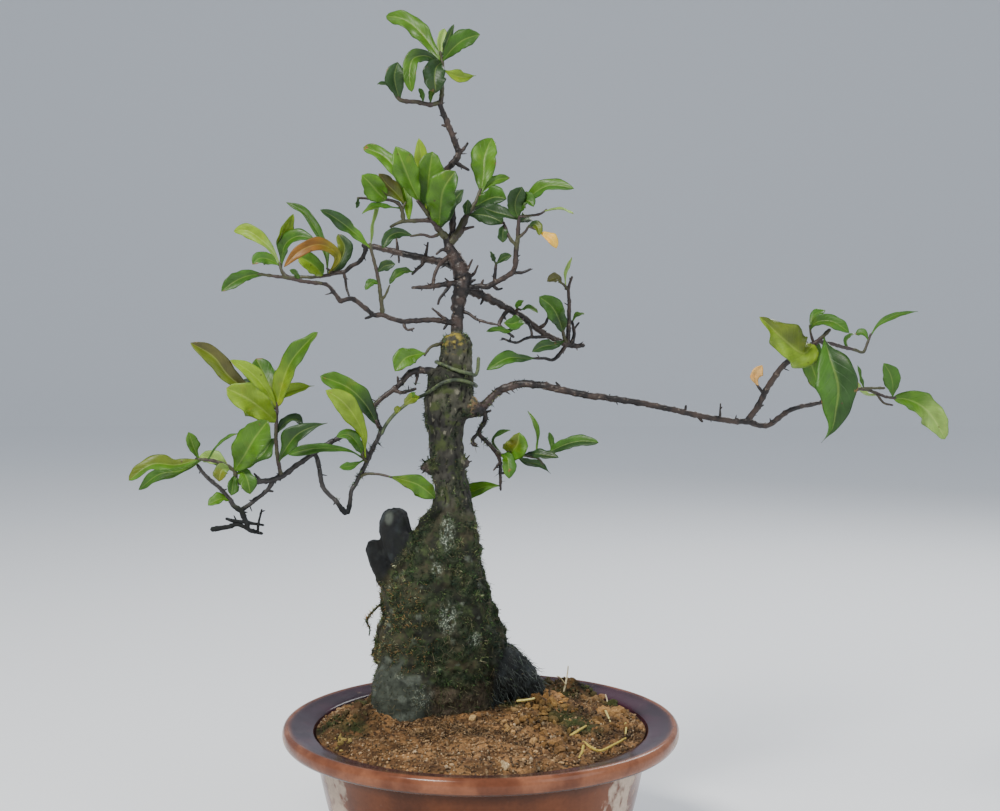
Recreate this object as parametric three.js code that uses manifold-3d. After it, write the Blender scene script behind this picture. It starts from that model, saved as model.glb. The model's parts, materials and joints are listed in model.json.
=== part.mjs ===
// A Chinese persimmon bonsai in a round glazed pot.
// Millimetres, +Z up, the front of the tree faces -Y, the origin is on the ground at the pot's axis.
import * as THREE from "three";
import { mergeVertices } from "three/addons/utils/BufferGeometryUtils.js";
import Module from "manifold-3d";

const wasm = await Module();
wasm.setup();

// Driving dimensions.
const GAP = 0.3;
const POT_RIM_RADIUS = 140;
const POT_RIM_TOP = 114;
const POT_LIP_HEIGHT = 11;
const POT_SOIL_RADIUS = 118;
const POT_SOIL_LEVEL = 110;
const POT_FLOOR = 16;
const POT_FOOT_RADIUS = 86;
const POT_SIDES = 32;
const SOIL_SIDES = 28;
const DRAIN_RADIUS = 7;
const DRAIN_CIRCLE = 38;
const DRAIN_COUNT = 3;
const DRAIN_SIDES = 10;
const LEAF_THICKNESS = 0.8;
const PETIOLE_WIDTH = 1.5;
const NARROW_LEAF = 10;
const LEAF_STEP = 12;
const TIE_RADIUS = 1.3;
const TIE_CLEARANCE = 0.7;
const TIE_STEPS = 42;
const TIE_SIDES = 5;

// The inside of the pot's wall, from its floor up: radius and height.
const POT_INSIDE = [[80, POT_FLOOR], [92, 27], [106.3, 78], [111, 97]];

// The routes of twigs and leaves are laid out on the upright plane of the trunk, as this viewpoint in
// front of the tree sees them.
const VIEWPOINT = new THREE.Vector3(13.5, -1020, 393);

// The old stump, from the sawn top down into the soil: height, then left, right, front and back reach.
const STUMP = [
  [389, -22, -12, 5, 5],
  [386.5, -26, -8, 9, 9],
  [380, -28.5, -6, 11.5, 11.5],
  [366, -29.5, -6, 11.8, 11.8],
  [361, -37, -5, 15, 15],
  [350, -38, -5, 16, 16],
  [335, -40, -7, 16, 16],
  [320, -38, -12.6, 13.5, 13.5],
  [303, -36, -12, 12.5, 12.5],
  [292, -34.5, -11.2, 12, 12],
  [278, -33, -7.7, 13, 13],
  [268, -34, -6, 14, 14],
  [258, -42, -4, 18, 17],
  [245, -48.5, -1.2, 22.5, 22],
  [230, -57, -0.5, 27, 27],
  [216, -66.5, 3, 29, 30],
  [204, -70, 7, 30, 33],
  [190, -68.5, 10.3, 29, 35],
  [174, -73, 15.6, 28, 38],
  [160, -77, 18, 26, 41],
  [140, -73, 15.5, 22.5, 42],
  [118, -69, 14, 17, 41],
  [96, -62, 8, 12, 34],
  [80, -50, -4, 6, 26],
];
const STUMP_SIDES = 16;

// Surface roots and sawn stubs, which stand out of the stump. A point is across, up, behind, radius.
const ROOTS_AND_STUBS = [
  [[0, 158, 6, 20], [18, 146, 15, 18], [32, 135, 22, 14], [43, 120, 27, 9], [50, 102, 30, 6]],
  [[-40, 168, 0, 20], [-50, 145, -6, 25], [-54, 126, -9, 25], [-54, 108, -10, 22], [-54, 92, -8, 14]],
  [[-52, 165, 14, 18], [-60, 142, 24, 15], [-66, 120, 34, 11], [-72, 102, 40, 7]],
  [[-32, 160, 28, 20], [-28, 135, 46, 18], [-24, 112, 60, 12], [-22, 96, 68, 7]],
  [[-8, 150, 24, 18], [6, 132, 42, 15], [18, 114, 56, 9], [24, 98, 62, 6]],
  [[-48, 222, -4, 11], [-57, 235, -5, 11], [-60, 246, -5, 11], [-61, 256, -5, 10.6], [-61.3, 263, -5, 8]],
  [[-62, 210, -2, 8], [-69, 221, -3, 7.2], [-73.5, 231, -3, 7], [-75, 238, -3, 6.2], [-75.3, 241.5, -3, 5]],
  [[-46, 232, -14, 5.5], [-52, 240, -16, 5], [-54.5, 246, -16, 3.6]],
  [[-18, 337, -4, 9.5], [-8, 336.5, -7, 8], [-1, 335, -9, 5.2]],
  [[-32, 295, -3, 6], [-38.5, 294.5, -5, 4.8], [-40.5, 294, -5, 3]],
  [[-16, 298, -4, 5.5], [-11.5, 298, -6, 4], [-9.5, 297, -6, 2.5]],
];

// Woody branches and twigs, in the same form. A radius left out runs evenly between its neighbours.
const BRANCHES = [
  // The young leader, from inside the stump to the fork of the crown, and on up to the apex.
  [[-17, 372, 0, 5], [-16.5, 392, 0, 4], [-16, 403, 0, 4], [-15, 413, 0, 5], [-13, 424, 0, 6],
    [-14, 433, 0, 6], [-18.5, 442, 0, 4.6], [-22.5, 451, 0, 3.2], [-24, 456, 0, 2.6]],
  [[-22, 449, 1, 2.4], [-20, 460, 4], [-20, 474, 6], [-22, 490, 6], [-24, 502, 3, 2.2], [-18, 508.5, 0],
    [-15.5, 514, 0, 2.3], [-18.5, 523, 0], [-23, 535, 0, 2], [-27, 544, 0, 1.9], [-28.2, 548, 0, 1.8]],
  [[-15.5, 513, 0, 1.4], [-12, 517, 1], [-9, 521, 1, 0.8]],
  [[-17.5, 507.5, 0, 1.6], [-13, 505, 2], [-8.5, 502.5, 3, 1]],
  // The upper left branch with its spurs.
  [[-14, 433, 0, 3], [-20, 436.5, 3, 2.9], [-33, 439.5, 9], [-46, 442.5, 16, 2.4], [-58, 445, 22],
    [-70, 448, 29], [-82, 450, 34, 1.9]],
  [[-58, 445, 22, 1.2], [-58.5, 450, 20], [-59, 455, 18, 0.7]],
  [[-38.5, 441, 12, 1.2], [-37, 452, 10, 0.7]],
  [[-40, 441, 12, 1.5], [-41, 437, 10], [-44.5, 433.5, 8], [-48, 430, 6, 0.9]],
  [[-80, 449.5, 33, 1.6], [-82, 443, 35], [-86, 438, 37], [-91, 435.5, 39], [-96, 431.5, 41, 1.5],
    [-104, 430.5, 43, 1.4]],
  [[-96, 431.5, 41, 1.2], [-95, 426, 41], [-94, 420, 40], [-92.5, 415, 38, 0.8]],
  // Twigs in the middle, left of the leader.
  [[-22, 443, 0, 1.5], [-26.5, 439, -4], [-30, 435, -7], [-32.5, 429, -9], [-33.8, 421, -10, 1.1]],
  [[-14, 424, -2, 2], [-22, 423.5, -5], [-30, 422, -8], [-36, 421, -10, 1.6], [-48, 420.5, -14, 1]],
  [[-22, 421.5, -5, 1.2], [-26, 416.5, -7], [-29, 412, -8], [-30, 409, -8, 0.8]],
  [[-22, 446, 0, 1.5], [-27, 447, -2], [-31, 444, -3, 0.8]],
  // The lower left branch, from the foot of the leader, with its spurs.
  [[-18, 396, -2, 2.4], [-24, 396.5, -4, 2], [-32, 398, -7], [-44, 397.5, -12], [-56, 397, -16, 1.7],
    [-63, 399, -19], [-69, 401.5, -21], [-75, 401.5, -23], [-81, 406, -26, 1.7], [-90, 412.5, -29],
    [-99, 411, -32, 1.6]],
  [[-74, 401.5, -23, 1.2], [-81, 399, -26, 0.8]],
  [[-54, 397, -15, 1.2], [-53.5, 393, -17], [-51, 391, -18], [-47, 392, -19, 0.7]],
  [[-22, 396.5, -4, 1.4], [-28, 401, -8], [-34, 406, -12, 0.7]],
  [[-98.5, 411, -32, 1.5], [-103, 417, -33], [-107, 422, -34], [-114, 424, -36, 1.2]],
  // Spurs on the right of the leader.
  [[-12, 432, 0, 1.5], [-9, 434, -2], [-6, 440, -4, 0.7]],
  [[-8, 428, 0, 1.3], [-5, 430, -2], [-2, 436, -3, 0.6]],
  // The upper right branch.
  [[-12, 421, 0, 2.2], [-6, 421, -3, 2], [0, 421.5, -6], [5, 421.5, -8], [10, 424, -10], [17, 428, -13],
    [22, 431, -15, 1.8], [24, 435, -16], [24.5, 441, -17], [25, 449, -18, 1.7]],
  [[22, 431, -15, 1.3], [29, 431, -15], [35, 433.5, -16, 0.8]],
  [[9.5, 423.5, -10, 1.3], [10, 430, -12], [10.5, 435, -13, 0.9]],
  [[8, 422.5, -9, 1.4], [12, 419.5, -6], [15, 420, -5, 0.7]],
  // The lower right branch, with the twigs under and over it.
  [[-13, 420, 0, 3.6], [-7, 418.5, 2, 3.2], [0, 415.5, 5, 3], [8, 412, 9, 2.7], [16, 408, 13, 2.5],
    [22, 404.5, 16, 2.4], [28, 400.5, 19], [34, 396.5, 22, 2.3], [40, 391.5, 25], [46, 387.5, 27, 2.2],
    [53, 384, 29], [60, 381, 31, 2.2], [66, 380, 32], [72, 380, 33, 1.6]],
  [[20, 405.5, 15, 1.6], [17, 402, 12], [14, 398, 9], [13, 395, 7, 1.4], [16.5, 391, 5], [23, 386, 2, 0.8]],
  [[40, 392, 25, 1.4], [45, 395, 22], [47, 399, 20], [49.5, 404, 18, 0.7]],
  [[57, 383, 30, 1.5], [48, 386, 26], [40, 386, 22], [32, 385, 18], [25, 382, 14], [15, 385, 9, 0.8]],
  [[33, 397, 21, 1.2], [35, 392, 18], [36, 387, 16, 0.8]],
  [[-14, 404.5, 0, 1.3], [-8, 402, -3], [-3, 398.5, -6], [5, 396, -9], [12, 394.5, -12, 0.7]],
  [[61, 380.5, 31, 1.8], [61.5, 390, 30], [62, 400, 28, 1.5], [62, 411, 26], [61.5, 420, 24],
    [64, 428, 22, 0.9]],
  [[64, 380, 32, 1.6], [65.5, 389, 33], [64, 397, 34, 0.9]],
  [[60, 380, 31, 1.4], [55, 373.5, 28], [51, 370, 26, 1.3], [44, 371, 22], [37, 371, 18, 0.9]],
  // The long right branch.
  [[-6, 336, -5, 5], [0, 336.5, -7, 3.8], [4.5, 340.5, -9, 2.8], [11, 346.5, -10, 2.8],
    [18, 350.5, -12, 2.8], [26, 352.5, -13], [35, 353, -14, 2.6], [45, 351.5, -15],
    [57, 348.5, -16, 2.4], [72, 345.5, -18], [90, 343, -19, 2.2], [110, 340, -20], [130, 336, -21, 2],
    [150, 331.5, -20], [165, 328.5, -19, 1.9], [180, 326.5, -17],
    [190, 326, -16, 2], [197, 323.5, -14], [203, 324, -13, 1.8], [210, 329, -10],
    [218, 334.5, -7], [228, 337.5, -3, 1.6], [240, 340, 3, 1.5], [252, 344, 8], [262, 348, 11, 1.3]],
  [[57, 349, -16, 1.3], [53, 354, -16, 0.7]],
  [[168.5, 328, -18, 0.9], [168.8, 339, -16, 0.5]],
  [[187, 326, -16, 2.2], [190, 330, -17, 2.1], [195, 337, -20], [200, 347, -23], [206, 357, -27, 2],
    [213, 366, -31], [221, 372, -35], [229, 378, -39, 1.9], [233, 380.7, -41, 1.8]],
  [[199, 346, -23, 1.2], [194, 353, -21, 0.8]],
  // The hanging twig under the long branch.
  [[-1, 336, -7, 2.6], [3, 331, -6, 1.7], [2.5, 326, -3, 1.6], [-1, 320.5, 0, 1.6], [-1.5, 318, 3, 1.6],
    [3, 313, 7, 1.5], [7, 309, 10], [11, 304, 13, 1.4], [13.5, 298, 15], [13.7, 290, 17, 1.2],
    [14, 278, 19, 0.8]],
  [[-2, 318, 3, 1.3], [-6, 313.5, 1], [-5.5, 310, 0], [-3, 309, 0, 0.8]],
  // The left branch and the pair of twigs that hang from it.
  [[-24, 358, -4, 4], [-36, 362, -9, 2.6], [-44, 362.5, -12, 2.3], [-51, 360, -14], [-56, 354, -16, 2],
    [-61, 349.5, -17], [-67, 345, -18], [-75, 337, -20, 1.6], [-73.5, 329, -21, 1.3], [-71, 320, -22, 1.4],
    [-76, 308, -24, 1.6], [-79.5, 300, -25, 1.7], [-84, 291, -26, 1.5], [-88, 283, -27],
    [-91.5, 277, -28, 1.4], [-92.5, 270, -28], [-94, 262, -28, 1.6]],
  [[-58, 351, -16, 1.2], [-58.5, 358, -17, 0.7]],
  [[-62, 349, -17, 1.5], [-56, 347, -19], [-46, 349.5, -24, 1]],
  [[-44, 362, -12, 1.2], [-45, 357, -14], [-46, 352.5, -15, 0.7]],
  [[-79.5, 301, -25, 1.7], [-85, 311, -26], [-92, 317, -28], [-100, 315, -30, 1.6], [-109, 310, -31],
    [-118, 304, -33, 1.7], [-130, 295.5, -35], [-140, 288, -37], [-148, 285, -38, 1.8], [-156, 284, -39],
    [-165, 283, -40], [-171, 283, -41, 1.5]],
  [[-117, 303.5, -32, 1.6], [-115, 298, -32, 1.6], [-113.5, 288, -33], [-112, 281, -33],
    [-109, 276.5, -34, 1.5], [-103, 270.5, -35], [-96, 261.5, -36, 1.7]],
  [[-155, 284, -39, 1.3], [-160, 289.5, -40, 0.7]],
  [[-146, 285, -38, 1.5], [-150, 279, -39], [-152, 277, -39, 1.4], [-158, 272, -40], [-164, 267.5, -41],
    [-169, 264, -42, 1.5]],
  [[-200, 295.5, -43, 1.1], [-197, 291, -43], [-190, 284, -43, 1.4], [-184, 279, -43],
    [-178, 272, -43, 1.5], [-174, 266, -42], [-169.5, 263, -42, 1.9], [-167.5, 258, -42],
    [-166, 255, -42, 1.6], [-164, 249.5, -42], [-159, 248, -41], [-155, 247, -41, 1]],
  [[-166, 255, -42, 1.2], [-175, 256, -44], [-180, 257.5, -45, 1]],
  [[-166, 255, -42, 1.2], [-160, 254, -40], [-154, 253, -39, 0.8]],
  [[-164, 249.5, -42, 1.2], [-172, 253.5, -43], [-180, 251.5, -44], [-190, 250, -45, 1.8]],
  [[-158, 248.5, -41, 1], [-157, 256, -41], [-155, 264, -40, 0.6]],
];

// The outlines that leaves have here. Each bends the way along the blade, which moves the widest part
// towards the tip above 1, and then bends the width, which makes the blade fuller below 1.
const LEAF_OUTLINES = {
  "usual": [1.4, 0.78],
  "blunt": [1.35, 0.5],
  "round": [1.1, 0.55],
  "egg": [0.8, 0.85],
  "drip": [0.95, 1.7],
  "spoon": [2, 0.8],
  "strap": [1, 0.55],
  "tail": [0.85, 2.2],
};

// Leafy sprays. Shoots are given like branches. A leaf is its width, the tilt of its face at the base
// and at the tip, and its midrib from the shoot outwards. At tilt 0 the face looks at the viewpoint, and
// a positive tilt turns it up, or to the right on an upright leaf.
const SPRAYS = {
  "spray_apex": {
    "shoots": [
      [[-28, 547, 0, 1.7], [-27, 556, 0], [-27, 566, 0], [-26.5, 576, 0], [-28, 584, 0, 1]],
      [[-27.5, 549.5, 0, 1.6], [-35, 547.8, -2], [-44, 549.5, -4], [-56, 551, -7, 1.5], [-62, 559, -8, 0.8]],
    ],
    "leaves": [
      [13, 15, 20, [[-28, 578, 0], [-35, 589, 6], [-45, 600.5, 12], [-54, 606.5, 16],
        [-66, 609, 22]], "blunt"],
      [14, 15, 20, [[-27, 577, 0], [-20, 585.5, -5], [-12, 592, -10], [-0.5, 596, -18]]],
      [8, 5, 5, [[-28, 580, 1], [-27, 592, 6], [-25, 600, 9]]],
      [6, 30, 30, [[-27, 581, 0], [-22.5, 592, -1], [-18.5, 603, -3]]],
      [11, 20, 10, [[-27, 574, 0], [-37, 581, -6], [-47, 579, -12], [-49.5, 568, -16],
        [-48, 556.5, -17]], "blunt"],
      [15.5, 10, 10, [[-56, 550, -7], [-59, 560, -10], [-60, 568, -13], [-57.5, 577, -14]]],
      [5, 60, 60, [[-61, 557, -8], [-65, 561, -9], [-72, 562, -11]]],
      [17, 5, 5, [[-27, 577, 0], [-31, 573, -5], [-32, 565, -8], [-31, 556, -9]], "blunt"],
      [10, 10, 40, [[-27, 572, 0], [-19, 568, 4], [-11, 566, 8], [-3, 568, 12]], "drip"],
      [5, 40, 40, [[-40, 549, -3], [-41, 554, -4], [-43, 559, -6]]],
      [5, 30, 30, [[-35, 549, -2], [-34, 555, -1], [-31, 559, 1]]],
    ],
  },
  "spray_crown_front": {
    "shoots": [
      [[-24, 455, 0, 2.6], [-29, 461, -4], [-33, 467, -8, 2], [-38, 473.5, -12], [-44, 481, -17, 1.2]],
      [[-33, 467, -8, 1.7], [-41, 467.5, -10], [-50, 467, -12], [-57, 466, -14], [-63, 463, -16, 1]],
      [[-54, 467, -13, 1.4], [-55, 474, -14], [-57.5, 479, -15], [-63, 481.5, -17], [-69, 482, -19],
        [-86, 483, -24, 0.8]],
      [[-55.5, 474, -14, 1.1], [-52.5, 480, -13, 0.8]],
      [[-28, 458.5, -3, 1.2], [-34, 456, -7], [-41, 457.5, -10], [-49, 456.5, -13, 0.8]],
    ],
    "leaves": [
      [13.5, 20, 25, [[-50, 467, -12], [-53, 486, -9], [-59, 502, -4], [-68, 512, 1],
        [-82, 518.5, 6]], "blunt"],
      [19, 10, 15, [[-42, 479, -15], [-48, 491, -19], [-54, 506, -24], [-59, 519, -26]]],
      [10, 10, 10, [[-38, 474, -12], [-39.5, 500, -8], [-41.5, 512, -7], [-43, 524.5, -9]], "spoon"],
      [21, 5, 5, [[-36, 471, -10], [-37, 486, -11], [-36, 500, -13], [-33.5, 515, -16]], "blunt"],
      [22, -5, -5, [[-29, 464, -8], [-28, 477, -18], [-26, 489, -25], [-18, 501.5, -31]], "blunt"],
      [13, 35, 35, [[-29, 461, -4], [-23, 471, -7], [-18, 481, -8], [-12, 489, -9]]],
      [16, 5, 5, [[-66, 481.5, -18], [-72, 487, -24], [-77, 493, -29], [-83, 499, -33]], "round"],
      [13, 20, 20, [[-53, 479, -13], [-60, 487, -17], [-66, 493, -21], [-71, 500, -25]]],
      [4, 40, 40, [[-85, 483, -24], [-86.5, 480, -26], [-87, 476, -28]]],
      [6, 50, 50, [[-56.5, 476, -15], [-67, 477, -22], [-75, 477, -28], [-83, 472, -33]]],
      [9, 15, 15, [[-47, 456.5, -12], [-57, 459, -17], [-64, 456, -22], [-69, 448, -25]]],
    ],
  },
  "spray_crown_right": {
    "shoots": [
      [[-21, 452, 0, 3], [-15, 460, 2, 3], [-12, 466, 4, 2.8], [-9, 472, 7, 2], [-4, 479, 10],
        [0, 489, 13, 1.2]],
      [[-14, 461, 2, 1.4], [-9, 462, -1], [-5, 463, -3, 0.8]],
    ],
    "leaves": [
      [20, -15, -10, [[0, 485, 12], [2, 499, 16], [3, 512, 20], [8, 525, 26]]],
      [7.5, 20, 20, [[0, 486, 12], [6, 492.5, 15], [13, 496, 18], [20.5, 497, 20]]],
      [16, 30, 20, [[-4, 477, 9], [3, 481, 5], [10, 483.5, 0], [18, 482.5, -5]]],
      [14, 15, 15, [[-9, 471, 6], [-1, 471.5, 2], [8, 469.5, -2], [16, 465.5, -5]]],
      [9, 30, 30, [[-7, 474, 8], [-2, 475, 14], [5, 476, 20], [14, 474, 27]]],
      [7, 20, 20, [[-10, 470, 6], [-10, 476, 2], [-9, 482, -1]]],
    ],
  },
  "spray_right_top": {
    "shoots": [
      [[25, 447, -18, 1.7], [26, 456, -19], [26.5, 464, -20], [26.5, 472, -21, 1.1]],
      [[24.7, 450, -18.3, 1.2], [20, 456, -17], [18, 461, -16], [16, 466, -15, 0.9]],
      [[26, 455, -19, 1.1], [31, 459.5, -21], [34, 464, -23, 0.8]],
      [[26.5, 470, -21, 1], [36, 471, -23], [42, 472, -24], [46, 475, -25, 0.7]],
      [[34, 463, -23, 0.8], [39, 461, -25], [42, 458.5, -27, 0.6]],
    ],
    "leaves": [
      [13, 10, 10, [[26.5, 469, -21], [24, 476, -24], [25, 483, -28], [29, 490.5, -32]], "blunt"],
      [11, 30, 30, [[26.5, 471, -21], [29, 478, -25], [33, 481, -29], [37, 477, -33]]],
      [12, 40, 30, [[26.5, 468, -21], [18, 471, -19], [10, 473, -17], [2, 476, -16]]],
      [11, 35, 35, [[26.5, 471, -21], [33, 482, -24], [46, 491, -29], [65, 490, -38]]],
      [5, 70, 70, [[45, 474, -25], [50, 475, -27], [57, 475, -30], [65, 472, -34]]],
      [8, 15, 15, [[16.5, 465, -15], [15.5, 459.5, -17], [15.5, 452, -18]]],
      [7, 20, 20, [[33.5, 463, -23], [37, 465, -25], [40, 462, -28], [41, 457, -30]]],
      [7.5, 15, 15, [[41, 459, -27], [46, 457, -29], [50, 454, -31], [53, 448, -32]]],
      [9, 30, 30, [[26, 466, -20], [31, 468, -14], [35, 469, -8]]],
    ],
  },
  "spray_left_high": {
    "shoots": [
      [[-102, 430.5, 43, 1.4], [-109, 429, 44], [-118, 428, 45], [-128, 428, 46], [-134, 428, 47],
        [-139, 432, 47], [-140, 440, 47, 0.9]],
      [[-103, 430.5, 43, 1.1], [-108, 434, 42, 0.7]],
    ],
    "leaves": [
      [12, 30, 30, [[-140, 438, 47], [-140, 450, 44], [-137, 461, 42], [-131, 472, 41]]],
      [12, 30, 30, [[-139.5, 436, 47], [-137, 450, 41], [-129, 456, 36], [-117, 455, 32]]],
      [10, 10, 10, [[-107, 429.5, 44], [-100.5, 443, 35], [-112, 450.5, 28], [-126, 446.5, 23],
        [-138, 435, 20]]],
      [14, 10, 10, [[-111, 428.7, 44], [-114, 433, 38], [-119, 437.5, 34], [-128, 442.5, 31]], "blunt"],
      [12, 10, 10, [[-104, 430.5, 43], [-98, 440, 47], [-95.5, 449, 49], [-100, 458, 50]], "round"],
      [8, 25, 30, [[-107, 430, 44], [-110, 450, 49], [-116, 462, 52], [-124, 473, 55], [-136, 480, 58]]],
      [11, 10, 10, [[-139.5, 434, 47], [-146, 446, 50], [-155, 455, 53], [-164, 460.5, 55],
        [-173, 460, 58]], "spoon"],
    ],
  },
  "spray_left_reach": {
    "shoots": [
      [[-112, 423.6, -35.6, 1.3], [-125, 425, -39], [-137, 427.5, -42], [-148, 429, -44],
        [-156, 430, -45, 0.9]],
      [[-137, 427.5, -42, 1.1], [-140, 433, -42], [-141, 438, -41, 0.8]],
    ],
    "leaves": [
      [10, 20, 20, [[-141, 436, -41], [-148, 440, -44], [-155, 441, -48], [-160, 437, -51]]],
      [11, 20, 20, [[-151, 429.5, -44], [-162, 429, -47], [-172, 425, -52], [-182, 418, -56]]],
      [5, 30, 30, [[-127, 425.5, -39], [-130, 430, -40], [-134, 433, -42]]],
    ],
  },
  "spray_left_upright": {
    "shoots": [
      [[-69, 402, -21, 1.5], [-70, 413, -22], [-71, 421, -22], [-73, 432, -22], [-75, 440, -22],
        [-77.5, 451, -22, 1]],
      [[-70, 411, -22, 0.9], [-66, 417, -23], [-64, 422, -24, 0.6]],
    ],
    "leaves": [
      [10, 20, 25, [[-77, 448, -22], [-90, 460, -27], [-101, 468.5, -32], [-112, 475, -38]]],
      [6, 60, 60, [[-77, 449, -22], [-76, 466, -18], [-71, 487, -14]]],
      [8, 10, 10, [[-73, 431, -22], [-67.5, 435.5, -24], [-60, 437, -27]]],
      [6, 30, 30, [[-71.5, 423, -22], [-76, 424.5, -25], [-81, 419, -28]]],
    ],
  },
  "leaf_left_inner": {
    "shoots": [],
    "leaves": [
      [8, 40, 40, [[-46.5, 431.4, 6.8], [-55, 431.5, 2], [-60, 427.5, -1], [-64, 423, -3]]],
    ],
  },
  "spray_right_inner": {
    "shoots": [
      [[10.3, 433, -12.6, 1], [10.8, 438, -14, 0.8]],
    ],
    "leaves": [
      [7, 35, 30, [[10.8, 437, -14], [16, 441, -16], [21.5, 443, -19]]],
      [5, 60, 50, [[10.7, 437, -14], [8.5, 441, -16], [6.5, 446, -18]]],
    ],
  },
  "spray_right_middle": {
    "shoots": [
      [[29.5, 399.5, 19.5, 1.4], [28, 396, 14], [25, 394, 10, 0.8]],
    ],
    "leaves": [
      [11, 20, 15, [[29, 398, 17], [27, 397, 10], [22, 395, 6], [16.5, 396, 3]]],
      [6, 50, 40, [[26, 394.6, 11], [19, 390, 4], [12, 391, 0], [4, 390, -4]]],
    ],
  },
  "spray_right_pair": {
    "shoots": [
      [[24.5, 403, 17, 1.3], [26, 405.5, 13], [28, 405, 9, 0.8]],
    ],
    "leaves": [
      [5, 30, 30, [[25.6, 405, 14], [26, 408, 10], [30, 411.5, 6]]],
      [6, 55, 55, [[27.5, 405, 10], [34, 406, 6], [40, 403, 2]]],
    ],
  },
  "spray_right_end": {
    "shoots": [
      [[60.3, 381.5, 31, 1.6], [58.5, 386, 27], [57.5, 391, 24, 1]],
    ],
    "leaves": [
      [14, 5, 5, [[57.8, 389, 25], [55, 398, 19], [50, 407, 13], [41.5, 414, 7]], "blunt"],
      [9, 20, 20, [[59.5, 383.5, 29], [52, 380.5, 22], [43, 379, 17], [36, 375.5, 13]]],
    ],
  },
  "spray_right_tip": {
    "shoots": [
      [[61.6, 419, 24.2, 1.1], [58, 423, 22], [55, 424.5, 20, 0.7]],
    ],
    "leaves": [
      [8, 25, 25, [[57, 423.5, 21], [53, 427, 17], [46.5, 425, 13]]],
      [3.5, 40, 40, [[59.5, 421.5, 23], [59, 431, 25], [64, 442, 29]]],
    ],
  },
  "leaf_right_small": {
    "shoots": [],
    "leaves": [
      [4.5, 45, 45, [[64, 396, 34], [67.5, 401, 38], [73, 402.5, 42]]],
    ],
  },
  "leaf_right_under": {
    "shoots": [],
    "leaves": [
      [10.5, 30, 20, [[38.5, 371, 18.9], [30, 371, 12], [19, 371, 8], [4, 363, 4]]],
    ],
  },
  "spray_stump": {
    "shoots": [
      [[-26.5, 381.5, -3, 1.3], [-33, 380, -7], [-37, 377, -9], [-39.5, 373, -10, 0.8]],
    ],
    "leaves": [
      [14, 10, 10, [[-38.7, 374.5, -9.6], [-46, 373.5, -14], [-53, 371, -19], [-60.5, 362, -24]]],
    ],
  },
  "leaf_low_inner": {
    "shoots": [
      [[-86.2, 287, -26.5, 1.1], [-80, 289.5, -29], [-72, 289, -31], [-63, 287, -33, 0.8]],
    ],
    "leaves": [
      [14, 5, 5, [[-65, 287.5, -33], [-54, 285, -32], [-44, 281.5, -29], [-32, 272, -24]]],
    ],
  },
  "leaf_behind_stump": {
    "shoots": [],
    "leaves": [
      [12, 10, 10, [[13.8, 281, 18.8], [4, 280.5, 22], [-6, 277, 25], [-20, 275, 27]]],
    ],
  },
  "leaf_orange": {
    "shoots": [],
    "leaves": [
      [8, 15, 15, [[195.2, 351.5, -21.5], [193, 358, -23], [198, 366, -25]]],
    ],
  },
  "spray_far_right_high": {
    "shoots": [
      [[231.5, 379.6, -40.2, 1.8], [236, 382.5, -42], [240, 386, -44], [245, 391, -46, 1.2]],
      [[237, 383.2, -42.5, 1.4], [247, 381, -38], [256, 378.5, -33], [263, 377, -29, 1.1], [269, 375.5, -26],
        [271.5, 381, -25], [274, 388, -24, 0.8]],
      [[234, 381, -41, 1], [232, 388, -43], [231, 394, -45, 0.7]],
    ],
    "leaves": [
      [24, 10, 25, [[234, 381, -41.5], [227, 374.5, -50], [213, 384, -60], [196.5, 400, -70]], "egg"],
      [15, 10, 10, [[237, 382, -42], [232.5, 369, -33], [236, 357, -28], [241, 345, -24]], "egg"],
      [29, 5, 5, [[241, 386, -44], [245, 373, -56], [251.5, 351, -62], [250, 334, -62],
        [247.5, 321, -58], [240, 311, -52]], "tail"],
      [10, 20, 20, [[231.5, 391, -44], [235, 396, -49], [246, 397, -54], [259, 389, -58]]],
      [6, 35, 35, [[231.2, 392, -45], [234, 401, -42], [242, 405, -38]]],
      [7, 60, 60, [[258, 378, -32], [257, 383, -30], [262, 389, -27]]],
      [6, 40, 40, [[272.5, 384, -24.6], [268, 389, -22], [263, 388, -20]]],
      [5, 20, 20, [[273.5, 386.5, -24], [280, 395, -22], [291, 401, -20], [307, 404, -16]], "drip"],
    ],
  },
  "spray_far_right_low": {
    "shoots": [
      [[260, 347.2, 10.6, 1.3], [268, 349.5, 13], [276, 347.5, 15], [285, 344, 17], [292, 343, 19, 1]],
      [[268, 349.5, 13, 1.1], [276, 350, 11], [284, 350, 9, 0.9]],
      [[278, 346.8, 15.5, 0.9], [284, 339.5, 13], [290, 338, 11, 0.7]],
    ],
    "leaves": [
      [8, 70, 70, [[281, 345.5, 16], [272, 345, 22], [266, 349, 26], [262, 358, 29]]],
      [4, 50, 50, [[270, 349, 13], [267, 357, 11], [265, 366, 9]]],
      [12.5, 10, 10, [[290, 343.3, 18.6], [290, 352, 13], [288, 360, 9], [283.5, 367.5, 6]]],
      [20, 10, 20, [[290.5, 343.2, 18.8], [302, 341.5, 20], [314, 334.5, 21], [328, 314, 20]], "round"],
    ],
  },
  "spray_right_low": {
    "shoots": [
      [[10, 305.5, 12.3, 1.5], [15, 302.8, 14], [21, 303, 15], [29, 303, 14], [37, 301.5, 13],
        [45, 303, 12], [50, 305.5, 11, 0.9]],
      [[36, 301.7, 13.2, 0.9], [41, 300, 15], [44, 296, 16, 0.7]],
    ],
    "leaves": [
      [17, 5, 5, [[19, 303, 14.5], [22.5, 306, 8], [26, 311, 4], [27, 318.5, 2]], "round"],
      [10.5, 10, 10, [[14, 303.2, 13.7], [18.5, 301, 8], [19.5, 295, 5], [20, 286, 3]]],
      [7, 15, 25, [[24, 303, 14.7], [32, 297.5, 21], [41, 296, 25], [49.5, 289.5, 29]], "drip"],
      [8, 40, 30, [[30, 303, 13.9], [38, 303.5, 7], [46, 302.5, 3], [55, 301, -1]]],
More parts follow.
